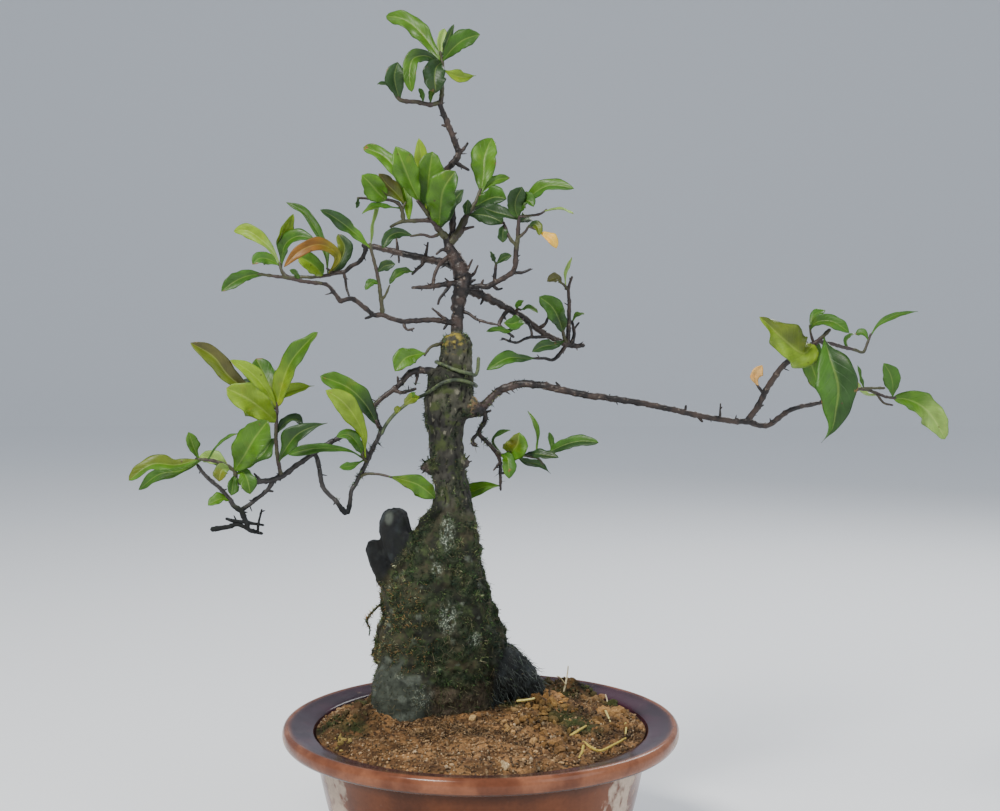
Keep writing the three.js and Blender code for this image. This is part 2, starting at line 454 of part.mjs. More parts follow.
      [10, 25, 25, [[48, 304.5, 11.3], [58, 309.5, 8], [70, 312.5, 4], [83, 311.5, -1]], "strap"],
      [5, 30, 30, [[49.5, 305.3, 11], [49.5, 312, 14], [48, 319, 17]]],
      [5, 50, 50, [[39, 302, 12.8], [39.5, 315, 17], [38, 325, 21], [33, 334, 25]]],
      [5, 60, 50, [[15, 302.8, 14], [9, 313, 19], [14, 318, 23], [21, 320.5, 27]]],
    ],
  },
  "spray_low_left_inner": {
    "shoots": [
      [[-71.3, 321.5, -21.8, 1.2], [-73, 324, -25], [-74, 327, -27, 0.9]],
    ],
    "leaves": [
      [15, 20, 15, [[-73, 324, -25], [-81, 338, -33], [-93, 350, -39], [-113, 358.5, -44]], "blunt"],
    ],
  },
  "spray_low_left_hanging": {
    "shoots": [
      [[-80.5, 298, -25.4, 1.4], [-83, 301, -29], [-84, 305, -32, 1]],
    ],
    "leaves": [
      [15, 10, 10, [[-81.5, 301, -28.5], [-83, 317, -38], [-89, 330, -46], [-98, 341, -52],
        [-109, 348.5, -57]], "spoon"],
      [11, 35, 30, [[-83.5, 303, -30.5], [-88, 312, -40], [-94, 317, -44], [-102, 316, -47]]],
      [8, 10, 20, [[-82.5, 300, -28], [-92, 305.5, -34], [-104, 307.5, -38], [-120, 307, -38],
        [-136, 303, -35]], "spoon"],
      [6, 10, 10, [[-82, 299.5, -27.5], [-90, 295.5, -31], [-94, 294.5, -33], [-100, 294, -35]], "spoon"],
    ],
  },
  "spray_low_left_upright": {
    "shoots": [
      [[-141, 287.5, -37.2, 1.5], [-142.5, 295, -38, 1.4], [-144, 305, -38], [-144.5, 318, -37],
        [-144, 328, -36], [-143.5, 340, -35, 1.1]],
    ],
    "leaves": [
      [15, 20, 30, [[-143.5, 337, -35.2], [-140, 352, -37], [-133, 369, -41], [-115, 389.5, -47]], "strap"],
      [10, 20, 40, [[-143.5, 338, -35], [-136, 347, -31], [-127, 349.5, -28], [-117, 352, -24]], "drip"],
      [11, 15, 20, [[-143.7, 336, -35], [-152, 350, -41], [-162, 361, -46], [-176, 370, -52]]],
      [17, 10, 10, [[-143.5, 338, -35], [-149, 353, -31], [-153, 361, -28], [-158, 371, -26]], "blunt"],
      [13, 15, 15, [[-143.8, 334, -35.5], [-150, 344, -27], [-158, 350, -21], [-168, 356, -16]]],
      [21, 5, 5, [[-144, 326, -36], [-154, 335, -44], [-164, 342.5, -51], [-179, 350, -57]], "blunt"],
      [14, 15, 20, [[-143, 297, -38], [-137, 308, -45], [-129, 317.5, -50], [-119, 322.5, -52],
        [-108, 325.5, -54]], "drip"],
      [9, 40, 35, [[-144.5, 317, -37], [-138, 325, -31], [-131, 328, -26], [-125, 325, -22]]],
      [14, 10, 15, [[-143.6, 336, -35.2], [-162, 347, -44], [-178, 359, -49], [-188, 372, -52],
        [-204, 382, -55]], "spoon"],
    ],
  },
  "spray_low_left_outer": {
    "shoots": [
      [[-169, 283, -40.7, 1.5], [-173, 286, -42], [-174, 291, -43], [-181, 296, -44], [-191, 299, -45],
        [-201, 300, -46, 1]],
    ],
    "leaves": [
      [22, 10, 10, [[-174, 291.5, -43.2], [-166.5, 303, -50], [-160, 314, -55], [-150, 327, -59]], "blunt"],
      [14, 35, 35, [[-174, 291, -43], [-163, 297, -39], [-154, 303, -35], [-146, 315, -31]]],
      [4, 60, 60, [[-193, 299, -45.2], [-186, 309, -48], [-179, 315, -51], [-171, 318, -54]]],
      [9, 30, 20, [[-199, 300, -45.8], [-202, 306, -48], [-204, 312, -50], [-206, 319, -51]]],
      [12, 35, 30, [[-199, 299.5, -46], [-215, 295.5, -50], [-232, 296, -54], [-249, 285, -58]], "blunt"],
      [10, 30, 25, [[-197, 299.5, -45.6], [-210, 292, -41], [-227, 289, -37], [-242, 278, -33]]],
      [11, 20, 20, [[-176, 292, -43.3], [-183, 296.5, -39], [-190, 300.5, -36], [-199, 301.5, -33]]],
      [9, 20, 15, [[-174, 289, -42.7], [-175, 284, -46], [-176.5, 274, -49]]],
      [12, 10, 10, [[-173, 289, -42.2], [-168.5, 291, -44], [-165, 285, -46], [-163, 275, -47]]],
      [11, 10, 10, [[-177, 293, -43.4], [-183, 292, -48], [-185, 284, -51]]],
    ],
  },
  "leaf_low_outer": {
    "shoots": [],
    "leaves": [
      [9, 35, 35, [[-176.8, 270.5, -42.8], [-184, 271.5, -46], [-193, 267, -50]]],
    ],
  },
};

// The green tie: led up from the left twig, wound round the stump and left standing at the right.
const TIE_LEAD_IN = [
  [-69.8, 318, -26.5], [-67.6, 323, -27], [-62, 330.5, -28], [-56, 336, -28], [-49, 341, -26],
];
// Its turns as [bearing, height], where bearing 0 is right, 90 front and 180 left.
const TIE_TURNS = [
  [150, 346.5], [128, 350], [105, 354.5], [80, 356.5], [55, 355.5], [30, 353], [5, 351.5], [-20, 352],
  [-45, 354.5], [-70, 358.5], [-95, 363], [-120, 366], [-145, 367.8], [-170, 368.4], [-195, 368.3],
  [-220, 367.5], [-245, 366], [-270, 364], [-295, 362], [-320, 360.5], [-345, 359.5],
];
const TIE_TAIL = [[-2.4, 362, -3], [-1.6, 371, -3]];

// Mounds and dips of the soil: place, height and reach.
const SOIL_MOUNDS = [
  [68, 80, 12, 17],
  [-74, -14, 11, 18],
  [-20, 0, 12, 52],
  [42, 20, 12, 24],
  [-86, -40, -4, 9],
  [90, -20, 2.5, 18],
];

// A small seeded random stream, so that each run gives the same leaves.
function seededRandom(seed) {
  let state = seed;
  return () => {
    state = (state * 16807) % 2147483647;
    return state / 2147483647;
  };
}

// The real place of a point laid out as [across, up, behind].
function seen([across, up, behind]) {
  const onPlane = new THREE.Vector3(across, 0, up);
  return VIEWPOINT.clone().lerp(onPlane, 1 - behind / VIEWPOINT.y);
}

// A closed mesh from a grid of rings, each ring a list of points round the body, with its ends capped.
function meshFromRings(rings) {
  const sides = rings[0].length;
  const points = rings.flat();
  const faces = [];
  for (let ring = 0; ring < rings.length - 1; ring++) {
    for (let side = 0; side < sides; side++) {
      const next = (side + 1) % sides;
      const a = ring * sides + side;
      const b = ring * sides + next;
      faces.push([a, b, b + sides], [a, b + sides, a + sides]);
    }
  }
  for (const [ring, turned] of [[0, true], [rings.length - 1, false]]) {
    const middle = rings[ring].reduce((sum, point) => sum.add(point), new THREE.Vector3());
    points.push(middle.divideScalar(sides));
    for (let side = 0; side < sides; side++) {
      const a = ring * sides + side;
      const b = ring * sides + (side + 1) % sides;
      faces.push(turned ? [b, a, points.length - 1] : [a, b, points.length - 1]);
    }
  }
  return meshFromFaces(points, faces);
}

function meshFromFaces(points, faces) {
  const geometry = new THREE.BufferGeometry();
  const numbers = points.flatMap((point) => point.toArray());
  geometry.setAttribute("position", new THREE.Float32BufferAttribute(numbers, 3));
  geometry.setIndex(faces.flat());
  return geometry;
}

// A body that booleans can join and cut.
function solid(geometry) {
  const bare = geometry.clone();
  bare.deleteAttribute("normal");
  bare.deleteAttribute("uv");
  const merged = mergeVertices(bare, 1e-4);
  const corners = Array.from(merged.index.array);
  const faces = [];
  for (let at = 0; at < corners.length; at += 3) {
    const [a, b, c] = corners.slice(at, at + 3);
    if (a !== b && b !== c && c !== a) faces.push(a, b, c);
  }
  return new wasm.Manifold(new wasm.Mesh({
    numProp: 3,
    vertProperties: new Float32Array(merged.attributes.position.array),
    triVerts: new Uint32Array(faces),
  }));
}

function joined(solids) {
  return solids.reduce((sum, next) => sum.add(next));
}

function geometryOf(body) {
  const mesh = body.getMesh();
  const geometry = new THREE.BufferGeometry();
  geometry.setAttribute("position", new THREE.BufferAttribute(new Float32Array(mesh.vertProperties), 3));
  geometry.setIndex(new THREE.BufferAttribute(new Uint32Array(mesh.triVerts), 1));
  return geometry;
}

function largestPiece(body) {
  return body.decompose().sort((a, b) => b.volume() - a.volume())[0];
}

// The radii along a route, where a point without one runs evenly between its neighbours.
function radiiAlong(points) {
  const given = points.map((point, index) => [index, point[3]]).filter(([, radius]) => radius !== undefined);
  return points.map((_, index) => {
    const after = given.find(([at]) => at >= index);
    const before = given.findLast(([at]) => at <= index);
    const share = after[0] === before[0] ? 0 : (index - before[0]) / (after[0] - before[0]);
    return THREE.MathUtils.lerp(before[1], after[1], share);
  });
}

// A tapering round limb with a ring at each of its points, wider by the margin.
function limb(points, margin = 0) {
  const radii = radiiAlong(points);
  const thickest = Math.max(...radii);
  const sides = thickest > 8 ? 8 : thickest > 3 ? 5 : thickest > 1.3 ? 4 : 3;
  const route = new THREE.CatmullRomCurve3(points.map(seen), false, "centripetal");
  const last = points.length - 1;
  let normal = new THREE.Vector3(0, 1, 0);
  const rings = radii.map((radius, index) => {
    const tangent = route.getTangent(index / last);
    normal = normal.clone().addScaledVector(tangent, -normal.dot(tangent)).normalize();
    const middle = route.getPoint(index / last);
    if (index === 0) middle.addScaledVector(tangent, -margin);
    if (index === last) middle.addScaledVector(tangent, margin);
    return ringRound(middle, normal, tangent.clone().cross(normal), radius + margin, sides);
  });
  return solid(meshFromRings(rings));
}

function ringRound(middle, normal, binormal, radius, sides) {
  return Array.from({ length: sides }, (_, side) => {
    const angle = side / sides * 2 * Math.PI;
    return middle.clone()
      .addScaledVector(normal, radius * Math.cos(angle))
      .addScaledVector(binormal, radius * Math.sin(angle));
  });
}

// The stump's reach at a height: its middle and its half widths.
function stumpSection(height) {
  const rows = STUMP;
  let lower = rows.findIndex((row) => row[0] <= height);
  if (lower === -1) lower = rows.length - 1;
  const upper = Math.max(lower - 1, 0);
  const span = rows[upper][0] - rows[lower][0];
  const share = span === 0 ? 0 : (height - rows[lower][0]) / span;
  const [, left, right, front, back] = rows[lower].map((low, column) =>
    THREE.MathUtils.lerp(low, rows[upper][column], share));
  return {
    x: (left + right) / 2,
    y: (back - front) / 2,
    across: (right - left) / 2,
    deep: (front + back) / 2,
  };
}

// A point on the stump at a bearing and height, with the flutes that deepen towards the roots.
function stumpPoint(bearing, height, margin) {
  const section = stumpSection(height);
  const depth = THREE.MathUtils.mapLinear(THREE.MathUtils.clamp(height, 110, 290), 290, 110, 0.012, 0.05);
  const flutes = Math.cos(5 * bearing + height / 23) + 0.6 * Math.cos(9 * bearing - height / 15 + 1);
  const swell = 1 + depth * flutes;
  return new THREE.Vector3(
    section.x + (section.across * swell + margin) * Math.cos(bearing),
    section.y - (section.deep * swell + margin) * Math.sin(bearing),
    height,
  );
}

function stump(margin = 0) {
  const rings = STUMP.map(([height], row) => {
    const lift = row === 0 ? margin : row === STUMP.length - 1 ? -margin : 0;
    return Array.from({ length: STUMP_SIDES }, (_, side) => {
      const point = stumpPoint(side / STUMP_SIDES * 2 * Math.PI, height, margin);
      point.z += lift;
      return point;
    });
  });
  return solid(meshFromRings(rings));
}

function wood(margin = 0) {
  const limbs = [...ROOTS_AND_STUBS, ...BRANCHES].map((points) => limb(points, margin));
  return joined([stump(margin), ...limbs]);
}

// The blade's width along it as a share of the full width, from the petiole to the tip.
function bladeShare(along, [shift, fullness]) {
  return Math.abs(Math.sin(Math.PI * along ** shift)) ** fullness;
}

// One leaf: a thin blade folded at its midrib, with waved edges, from its petiole to its pointed tip.
function leaf([width, tiltAtBase, tiltAtTip, points, outline = "usual"], random) {
  const route = new THREE.CatmullRomCurve3(points.map(seen), false, "centripetal");
  const length = route.getLength();
  const narrow = width < NARROW_LEAF;
  const steps = THREE.MathUtils.clamp(Math.round(length / LEAF_STEP), 3, narrow ? 4 : 6);
  const fold = THREE.MathUtils.degToRad(14 + 14 * random());
  const wave = width * (0.05 + 0.04 * random());
  const phase = 2 * Math.PI * random();
  const chord = route.getPointAt(1).sub(route.getPointAt(0)).normalize();
  const towards = VIEWPOINT.clone().sub(route.getPointAt(0.5)).normalize();
  const lean = new THREE.Vector3().crossVectors(chord, towards);
  const hand = lean.z + 0.3 * lean.x < 0 ? -1 : 1;
  const rows = [];
  for (let index = 0; index <= steps; index++) {
    const along = index / steps;
    const tangent = route.getTangentAt(along);
    const tilt = THREE.MathUtils.degToRad(THREE.MathUtils.lerp(tiltAtBase, tiltAtTip, along)) * hand;
    const face = towards.clone().addScaledVector(tangent, -towards.dot(tangent)).normalize();
    face.applyAxisAngle(tangent, tilt);
    const across = new THREE.Vector3().crossVectors(face, tangent).normalize();
    const half = Math.max(width * bladeShare(along, LEAF_OUTLINES[outline]), PETIOLE_WIDTH) / 2;
    const spread = half * Math.cos(fold);
    const rise = half * Math.sin(fold);
    const middle = route.getPointAt(along);
    const waved = index === 0 ? 0 : wave;
    const left = middle.clone().addScaledVector(across, -spread)
      .addScaledVector(face, rise + waved * Math.cos(phase + 2.6 * index));
    const right = middle.clone().addScaledVector(across, spread)
      .addScaledVector(face, rise + waved * Math.cos(phase + 1.5 + 2.9 * index));
    const folded = narrow || index === 0 ? [left, right] : [left, middle, right];
    const columns = index === steps ? [middle] : folded;
    const lift = face.clone().multiplyScalar(LEAF_THICKNESS / 2);
    rows.push(columns.map((point) => [point.clone().sub(lift), point.clone().add(lift)]));
  }
  return solid(bladeMesh(rows));
}

// The closed blade through rows of columns from base to tip, each column a point below and one above.
// Rows may differ in their number of columns, and both faces are split alike.
function bladeMesh(rows) {
  const points = rows.flat(2);
  const faces = [];
  let numbered = 0;
  const numbers = rows.map((row) => row.map(() => [numbered++, numbered++]));
  const onBothFaces = (a, b, c) => faces.push([a[0], b[0], c[0]], [c[1], b[1], a[1]]);
  const wall = (from, to) => faces.push([from[1], from[0], to[0]], [from[1], to[0], to[1]]);
  for (let index = 0; index < rows.length - 1; index++) {
    const near = numbers[index];
    const far = numbers[index + 1];
    let i = 0;
    let j = 0;
    while (i < near.length - 1 || j < far.length - 1) {
      const nearShare = i < near.length - 1 ? (i + 1) / (near.length - 1) : Infinity;
      const farShare = j < far.length - 1 ? (j + 1) / (far.length - 1) : Infinity;
      if (nearShare <= farShare) {
        onBothFaces(near[i], near[i + 1], far[j]);
        i += 1;
      } else {
        onBothFaces(near[i], far[j + 1], far[j]);
        j += 1;
      }
    }
    wall(near[0], far[0]);
    wall(far.at(-1), near.at(-1));
  }
  wall(numbers[0][1], numbers[0][0]);
  return meshFromFaces(points, faces);
}

function spray({ shoots, leaves }, random, wideWood) {
  const pieces = [...shoots.map((points) => limb(points)), ...leaves.map((entry) => leaf(entry, random))];
  return largestPiece(joined(pieces).subtract(wideWood));
}

function potGeometry() {
  const lipBottom = POT_RIM_TOP - POT_LIP_HEIGHT;
  const outline = [
    [0, 0],
    [POT_FOOT_RADIUS, 0],
    [POT_FOOT_RADIUS + 4, 12],
    [101, 31],
    [108, 52],
    [117, 94],
    [122, 99],
    [134, 101.5],
    [POT_RIM_RADIUS + 0.6, lipBottom + 3.5],
    [POT_RIM_RADIUS + 0.4, lipBottom + 8],
    [POT_RIM_RADIUS - 2.4, POT_RIM_TOP + 0.2],
    [POT_SOIL_RADIUS + 2, POT_SOIL_LEVEL + 0.8],
    [POT_SOIL_RADIUS, POT_SOIL_LEVEL - 1],
    ...POT_INSIDE.toReversed(),
    [0, POT_FLOOR],
  ];
  const points = outline.map(([x, y]) => new THREE.Vector2(x, y));
  return new THREE.LatheGeometry(points, POT_SIDES).rotateX(Math.PI / 2);
}

function pot() {
  const holes = Array.from({ length: DRAIN_COUNT }, (_, index) => {
    const angle = (index + 0.5) / DRAIN_COUNT * 2 * Math.PI;
    const hole = new THREE.CylinderGeometry(DRAIN_RADIUS, DRAIN_RADIUS, POT_FLOOR * 2, DRAIN_SIDES)
      .rotateX(Math.PI / 2);
    hole.translate(DRAIN_CIRCLE * Math.cos(angle), DRAIN_CIRCLE * Math.sin(angle), POT_FLOOR / 2);
    return solid(hole);
  });
  return solid(potGeometry()).subtract(joined(holes));
}

function soilHeight(x, y) {
  const radius = Math.hypot(x, y);
  const heaped = SOIL_MOUNDS.reduce((sum, [mx, my, height, reach]) =>
    sum + height * Math.exp(-((x - mx) ** 2 + (y - my) ** 2) / (2 * reach ** 2)), 0);
  const lumps = 0.9 * Math.sin(x / 6.1 + 1.3 * Math.sin(y / 9)) * Math.cos(y / 5.3 + Math.sin(x / 8));
  const inward = THREE.MathUtils.smoothstep(POT_SOIL_RADIUS - radius, 0, 14);
  return POT_SOIL_LEVEL - 1.5 + inward * (1.5 + heaped + lumps);
}

// The soil fills the pot, clear of its wall, up to a lumpy surface.
function soil(wideWood) {
  const radii = [POT_SOIL_RADIUS - 1.1, 109, 96, 80, 60, 32];
  const walls = POT_INSIDE.map(([radius, height]) => [radius - 2 * GAP, height + GAP]);
  const ringAt = (radius, heightAt) => Array.from({ length: SOIL_SIDES }, (_, side) => {
    const angle = side / SOIL_SIDES * 2 * Math.PI;
    const x = radius * Math.cos(angle);
    const y = radius * Math.sin(angle);
    return new THREE.Vector3(x, y, heightAt(x, y));
  });
  const rings = [
    ...walls.map(([radius, height]) => ringAt(radius, () => height)),
    ...radii.map((radius) => ringAt(radius, soilHeight)),
  ];
  return largestPiece(solid(meshFromRings(rings)).subtract(wideWood));
}

// The tie, clear of the bark all round.
function tie() {
  const round = TIE_TURNS.map(([bearing, height]) =>
    stumpPoint(THREE.MathUtils.degToRad(bearing), height, TIE_RADIUS + TIE_CLEARANCE));
  const points = [...TIE_LEAD_IN.map(seen), ...round, ...TIE_TAIL.map(seen)];
  const route = new THREE.CatmullRomCurve3(points, false, "centripetal");
  const frames = route.computeFrenetFrames(TIE_STEPS, false);
  const rings = Array.from({ length: TIE_STEPS + 1 }, (_, index) => {
    const middle = route.getPointAt(index / TIE_STEPS);
    return ringRound(middle, frames.normals[index], frames.binormals[index], TIE_RADIUS, TIE_SIDES);
  });
  return meshFromRings(rings);
}

function material(color, roughness, metalness = 0) {
  return new THREE.MeshStandardMaterial({ color, roughness, metalness });
}

const glaze = material(0x8a4a34, 0.3);
const earth = material(0x8b6039, 0.95);
const bark = material(0x4a3f33, 0.85);
const green = material(0x5f8a2c, 0.45);
const orange = material(0xd08a2e, 0.55);
const tieGreen = material(0x66753f, 0.5);

const bonsai = new THREE.Group();

function addPiece(name, geometry, look) {
  const piece = new THREE.Mesh(geometry, look);
  piece.name = name;
  bonsai.add(piece);
}

const wideWood = wood(GAP + 0.1);
const random = seededRandom(20);
addPiece("pot", geometryOf(pot()), glaze);
addPiece("soil", geometryOf(soil(wideWood)), earth);
addPiece("trunk_and_branches", geometryOf(largestPiece(wood())), bark);
addPiece("green_tie", tie(), tieGreen);
for (const [name, parts] of Object.entries(SPRAYS)) {
  addPiece(name, geometryOf(spray(parts, random, wideWood)), name === "leaf_orange" ? orange : green);
}

export default bonsai;
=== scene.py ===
"""The looks of a Chinese persimmon bonsai in its round glazed pot: bark, moss, leaves, soil and glaze.

The tree is laid out in millimetres and turned into metres when a piece is made. +Z is up, and the front
of the tree faces -Y. A place that is given as across, up and behind is the one that the viewpoint sees at
that place of the upright plane through the middle of the pot, and lies that far behind the plane.
"""
import json
import math
import random

import bmesh
import bpy
import numpy as np
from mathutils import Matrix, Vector, noise

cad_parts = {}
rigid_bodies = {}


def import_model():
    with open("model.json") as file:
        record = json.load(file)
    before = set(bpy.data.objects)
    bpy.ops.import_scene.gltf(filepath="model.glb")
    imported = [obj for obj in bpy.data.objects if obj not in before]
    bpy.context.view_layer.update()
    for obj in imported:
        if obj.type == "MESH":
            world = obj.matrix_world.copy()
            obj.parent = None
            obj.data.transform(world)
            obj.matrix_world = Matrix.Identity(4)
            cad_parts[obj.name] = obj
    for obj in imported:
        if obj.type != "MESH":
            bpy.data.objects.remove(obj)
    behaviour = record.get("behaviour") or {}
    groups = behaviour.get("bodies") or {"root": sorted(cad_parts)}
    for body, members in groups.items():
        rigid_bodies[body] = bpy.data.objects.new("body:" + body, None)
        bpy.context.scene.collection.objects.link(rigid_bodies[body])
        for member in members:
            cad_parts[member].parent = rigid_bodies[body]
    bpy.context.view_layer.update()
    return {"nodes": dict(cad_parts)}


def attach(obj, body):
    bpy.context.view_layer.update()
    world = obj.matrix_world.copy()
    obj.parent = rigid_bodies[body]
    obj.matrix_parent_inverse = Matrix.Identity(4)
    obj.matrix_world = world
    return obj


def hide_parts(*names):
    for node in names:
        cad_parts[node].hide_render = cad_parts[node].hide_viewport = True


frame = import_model()

# Without a seed of its own, the noise that sways the twigs would differ from run to run.
SWAY_SEED = 5
noise.seed_set(SWAY_SEED)

MM = 0.001

# The pot, as it is constructed.
POT_RIM_RADIUS = 140
POT_RIM_TOP = 114
POT_LIP_HEIGHT = 11
POT_SOIL_RADIUS = 118
POT_SOIL_LEVEL = 110
POT_FLOOR = 16
POT_FOOT_RADIUS = 86
DRAIN_RADIUS = 7
DRAIN_CIRCLE = 38
DRAIN_HOLES = 3

# The tie's thickness and how far it lies off the stump.
TIE_RADIUS = 1.3
TIE_CLEARANCE = 0.7

# A leaf narrower than this has fewer points across and fewer steps, along which its edges wave. A step
# is about this long.
NARROW_LEAF = 10
LEAF_STEP = 12

# How fine the skins are, and how many small things there are.
BARK_CELL = 1.35
LEAF_CELL = 1.7
POT_SIDES = 160
SOIL_GRID = 150
MOSS_STRANDS = 27000
HAIRS = 5200
CRUMBS = 7000
FIBRES = 2600

# The middle of the stump, and the height where its mossy foot ends and its old bark starts.
STUMP_MIDDLE = -26
BARK_EDGE = 262

# A bud stands on the twigs at about every so many millimetres, where they are thin enough.
BUD_SPACING = 9
THICKEST_BUDDING = 3.4

# The photo's viewpoint, in millimetres, with the camera's lens and sensor, and its tilt in degrees.
VIEWPOINT = np.array([13.5, -1020, 393])
CAMERA_LENS = 52.2
CAMERA_SENSOR = 36
CAMERA_TILT = 86.9

# The floor's sweep in metres: behind and up.
FLOOR_PROFILE = [(-6, 0), (4.6, 0), (4.8, 0), (5.8, 0.15), (6.8, 0.6), (7.6, 1.4), (8, 2.8), (8, 7)]
FLOOR_HALF_WIDTH = 9000
FLOOR_GAP = 0.2

# The old stump, from the sawn top down into the soil: height, then left, right, front and back reach.
STUMP = [
    [389, -22, -12, 5, 5],
    [386.5, -26, -8, 9, 9],
    [380, -28.5, -6, 11.5, 11.5],
    [366, -29.5, -6, 11.8, 11.8],
    [361, -37, -5, 15, 15],
    [350, -38, -5, 16, 16],
    [335, -40, -7, 16, 16],
    [320, -38, -12.6, 13.5, 13.5],
    [303, -36, -12, 12.5, 12.5],
    [292, -34.5, -11.2, 12, 12],
    [278, -33, -7.7, 13, 13],
    [268, -34, -6, 14, 14],
    [258, -42, -4, 18, 17],
    [245, -48.5, -1.2, 22.5, 22],
    [230, -57, -0.5, 27, 27],
    [216, -66.5, 3, 29, 30],
    [204, -70, 7, 30, 33],
    [190, -68.5, 10.3, 29, 35],
    [174, -73, 15.6, 28, 38],
    [160, -77, 18, 26, 41],
    [140, -73, 15.5, 22.5, 42],
    [118, -69, 14, 17, 41],
    [96, -62, 8, 12, 34],
    [80, -50, -4, 6, 26],
]

# Surface roots and sawn stubs, which stand out of the stump. A point is across, up, behind, radius.
ROOTS_AND_STUBS = [
    [[0, 158, 6, 20], [18, 146, 15, 18], [32, 135, 22, 14], [43, 120, 27, 9], [50, 102, 30, 6]],
    [[-40, 168, 0, 20], [-50, 145, -6, 25], [-54, 126, -9, 25], [-54, 108, -10, 22], [-54, 92, -8, 14]],
    [[-52, 165, 14, 18], [-60, 142, 24, 15], [-66, 120, 34, 11], [-72, 102, 40, 7]],
    [[-32, 160, 28, 20], [-28, 135, 46, 18], [-24, 112, 60, 12], [-22, 96, 68, 7]],
    [[-8, 150, 24, 18], [6, 132, 42, 15], [18, 114, 56, 9], [24, 98, 62, 6]],
    [[-48, 222, -4, 11], [-57, 235, -5, 11], [-60, 246, -5, 11], [-61, 256, -5, 10.6], [-61.3, 263, -5, 8]],
    [[-62, 210, -2, 8], [-69, 221, -3, 7.2], [-73.5, 231, -3, 7], [-75, 238, -3, 6.2],
        [-75.3, 241.5, -3, 5]],
    [[-46, 232, -14, 5.5], [-52, 240, -16, 5], [-54.5, 246, -16, 3.6]],
    [[-18, 337, -4, 9.5], [-8, 336.5, -7, 8], [-1, 335, -9, 5.2]],
    [[-32, 295, -3, 6], [-38.5, 294.5, -5, 4.8], [-40.5, 294, -5, 3]],
    [[-16, 298, -4, 5.5], [-11.5, 298, -6, 4], [-9.5, 297, -6, 2.5]],
]

# The sawn stubs among them, which have flat hewn sides.
SAWN_STUBS = (5, 6, 7)

# The pale sawn face of the tallest stub, and the burl at the stump's right.
SAWN_FACET = (-64, -12, 260)
BURL = (0, -6, 337)

# Pale lichen on the stump: place and reach.
LICHEN = [
    ((-23, -18, 248), (6, 14, 17)),
    ((-30, -22, 226), (5, 12, 8)),
    ((-23, -26, 192), (8, 14, 13)),
    ((-4, -22, 176), (6, 14, 6)),
    ((-39, -48, 136), (12, 34, 13)),
    ((-56, -48, 152), (5, 30, 4)),
]

# Knots, burrs and scars on the trunk: place, reach and height.
KNOTS = [
    ((-36, -3, 294), (6, 8, 7), 1.6),
    ((-13, -6, 298), (6, 8, 6), 1.6),
    ((-28, -13, 329), (5, 5, 10), -1.1),
    ((-6, -10, 258), (5, 8, 5), 1.4),
    ((-40, -8, 356), (6, 8, 5), 0.8),
    ((-24, -14, 309), (7, 4, 4), 0.7),
    ((-30, -15, 351), (8, 4, 4), 0.6),
]

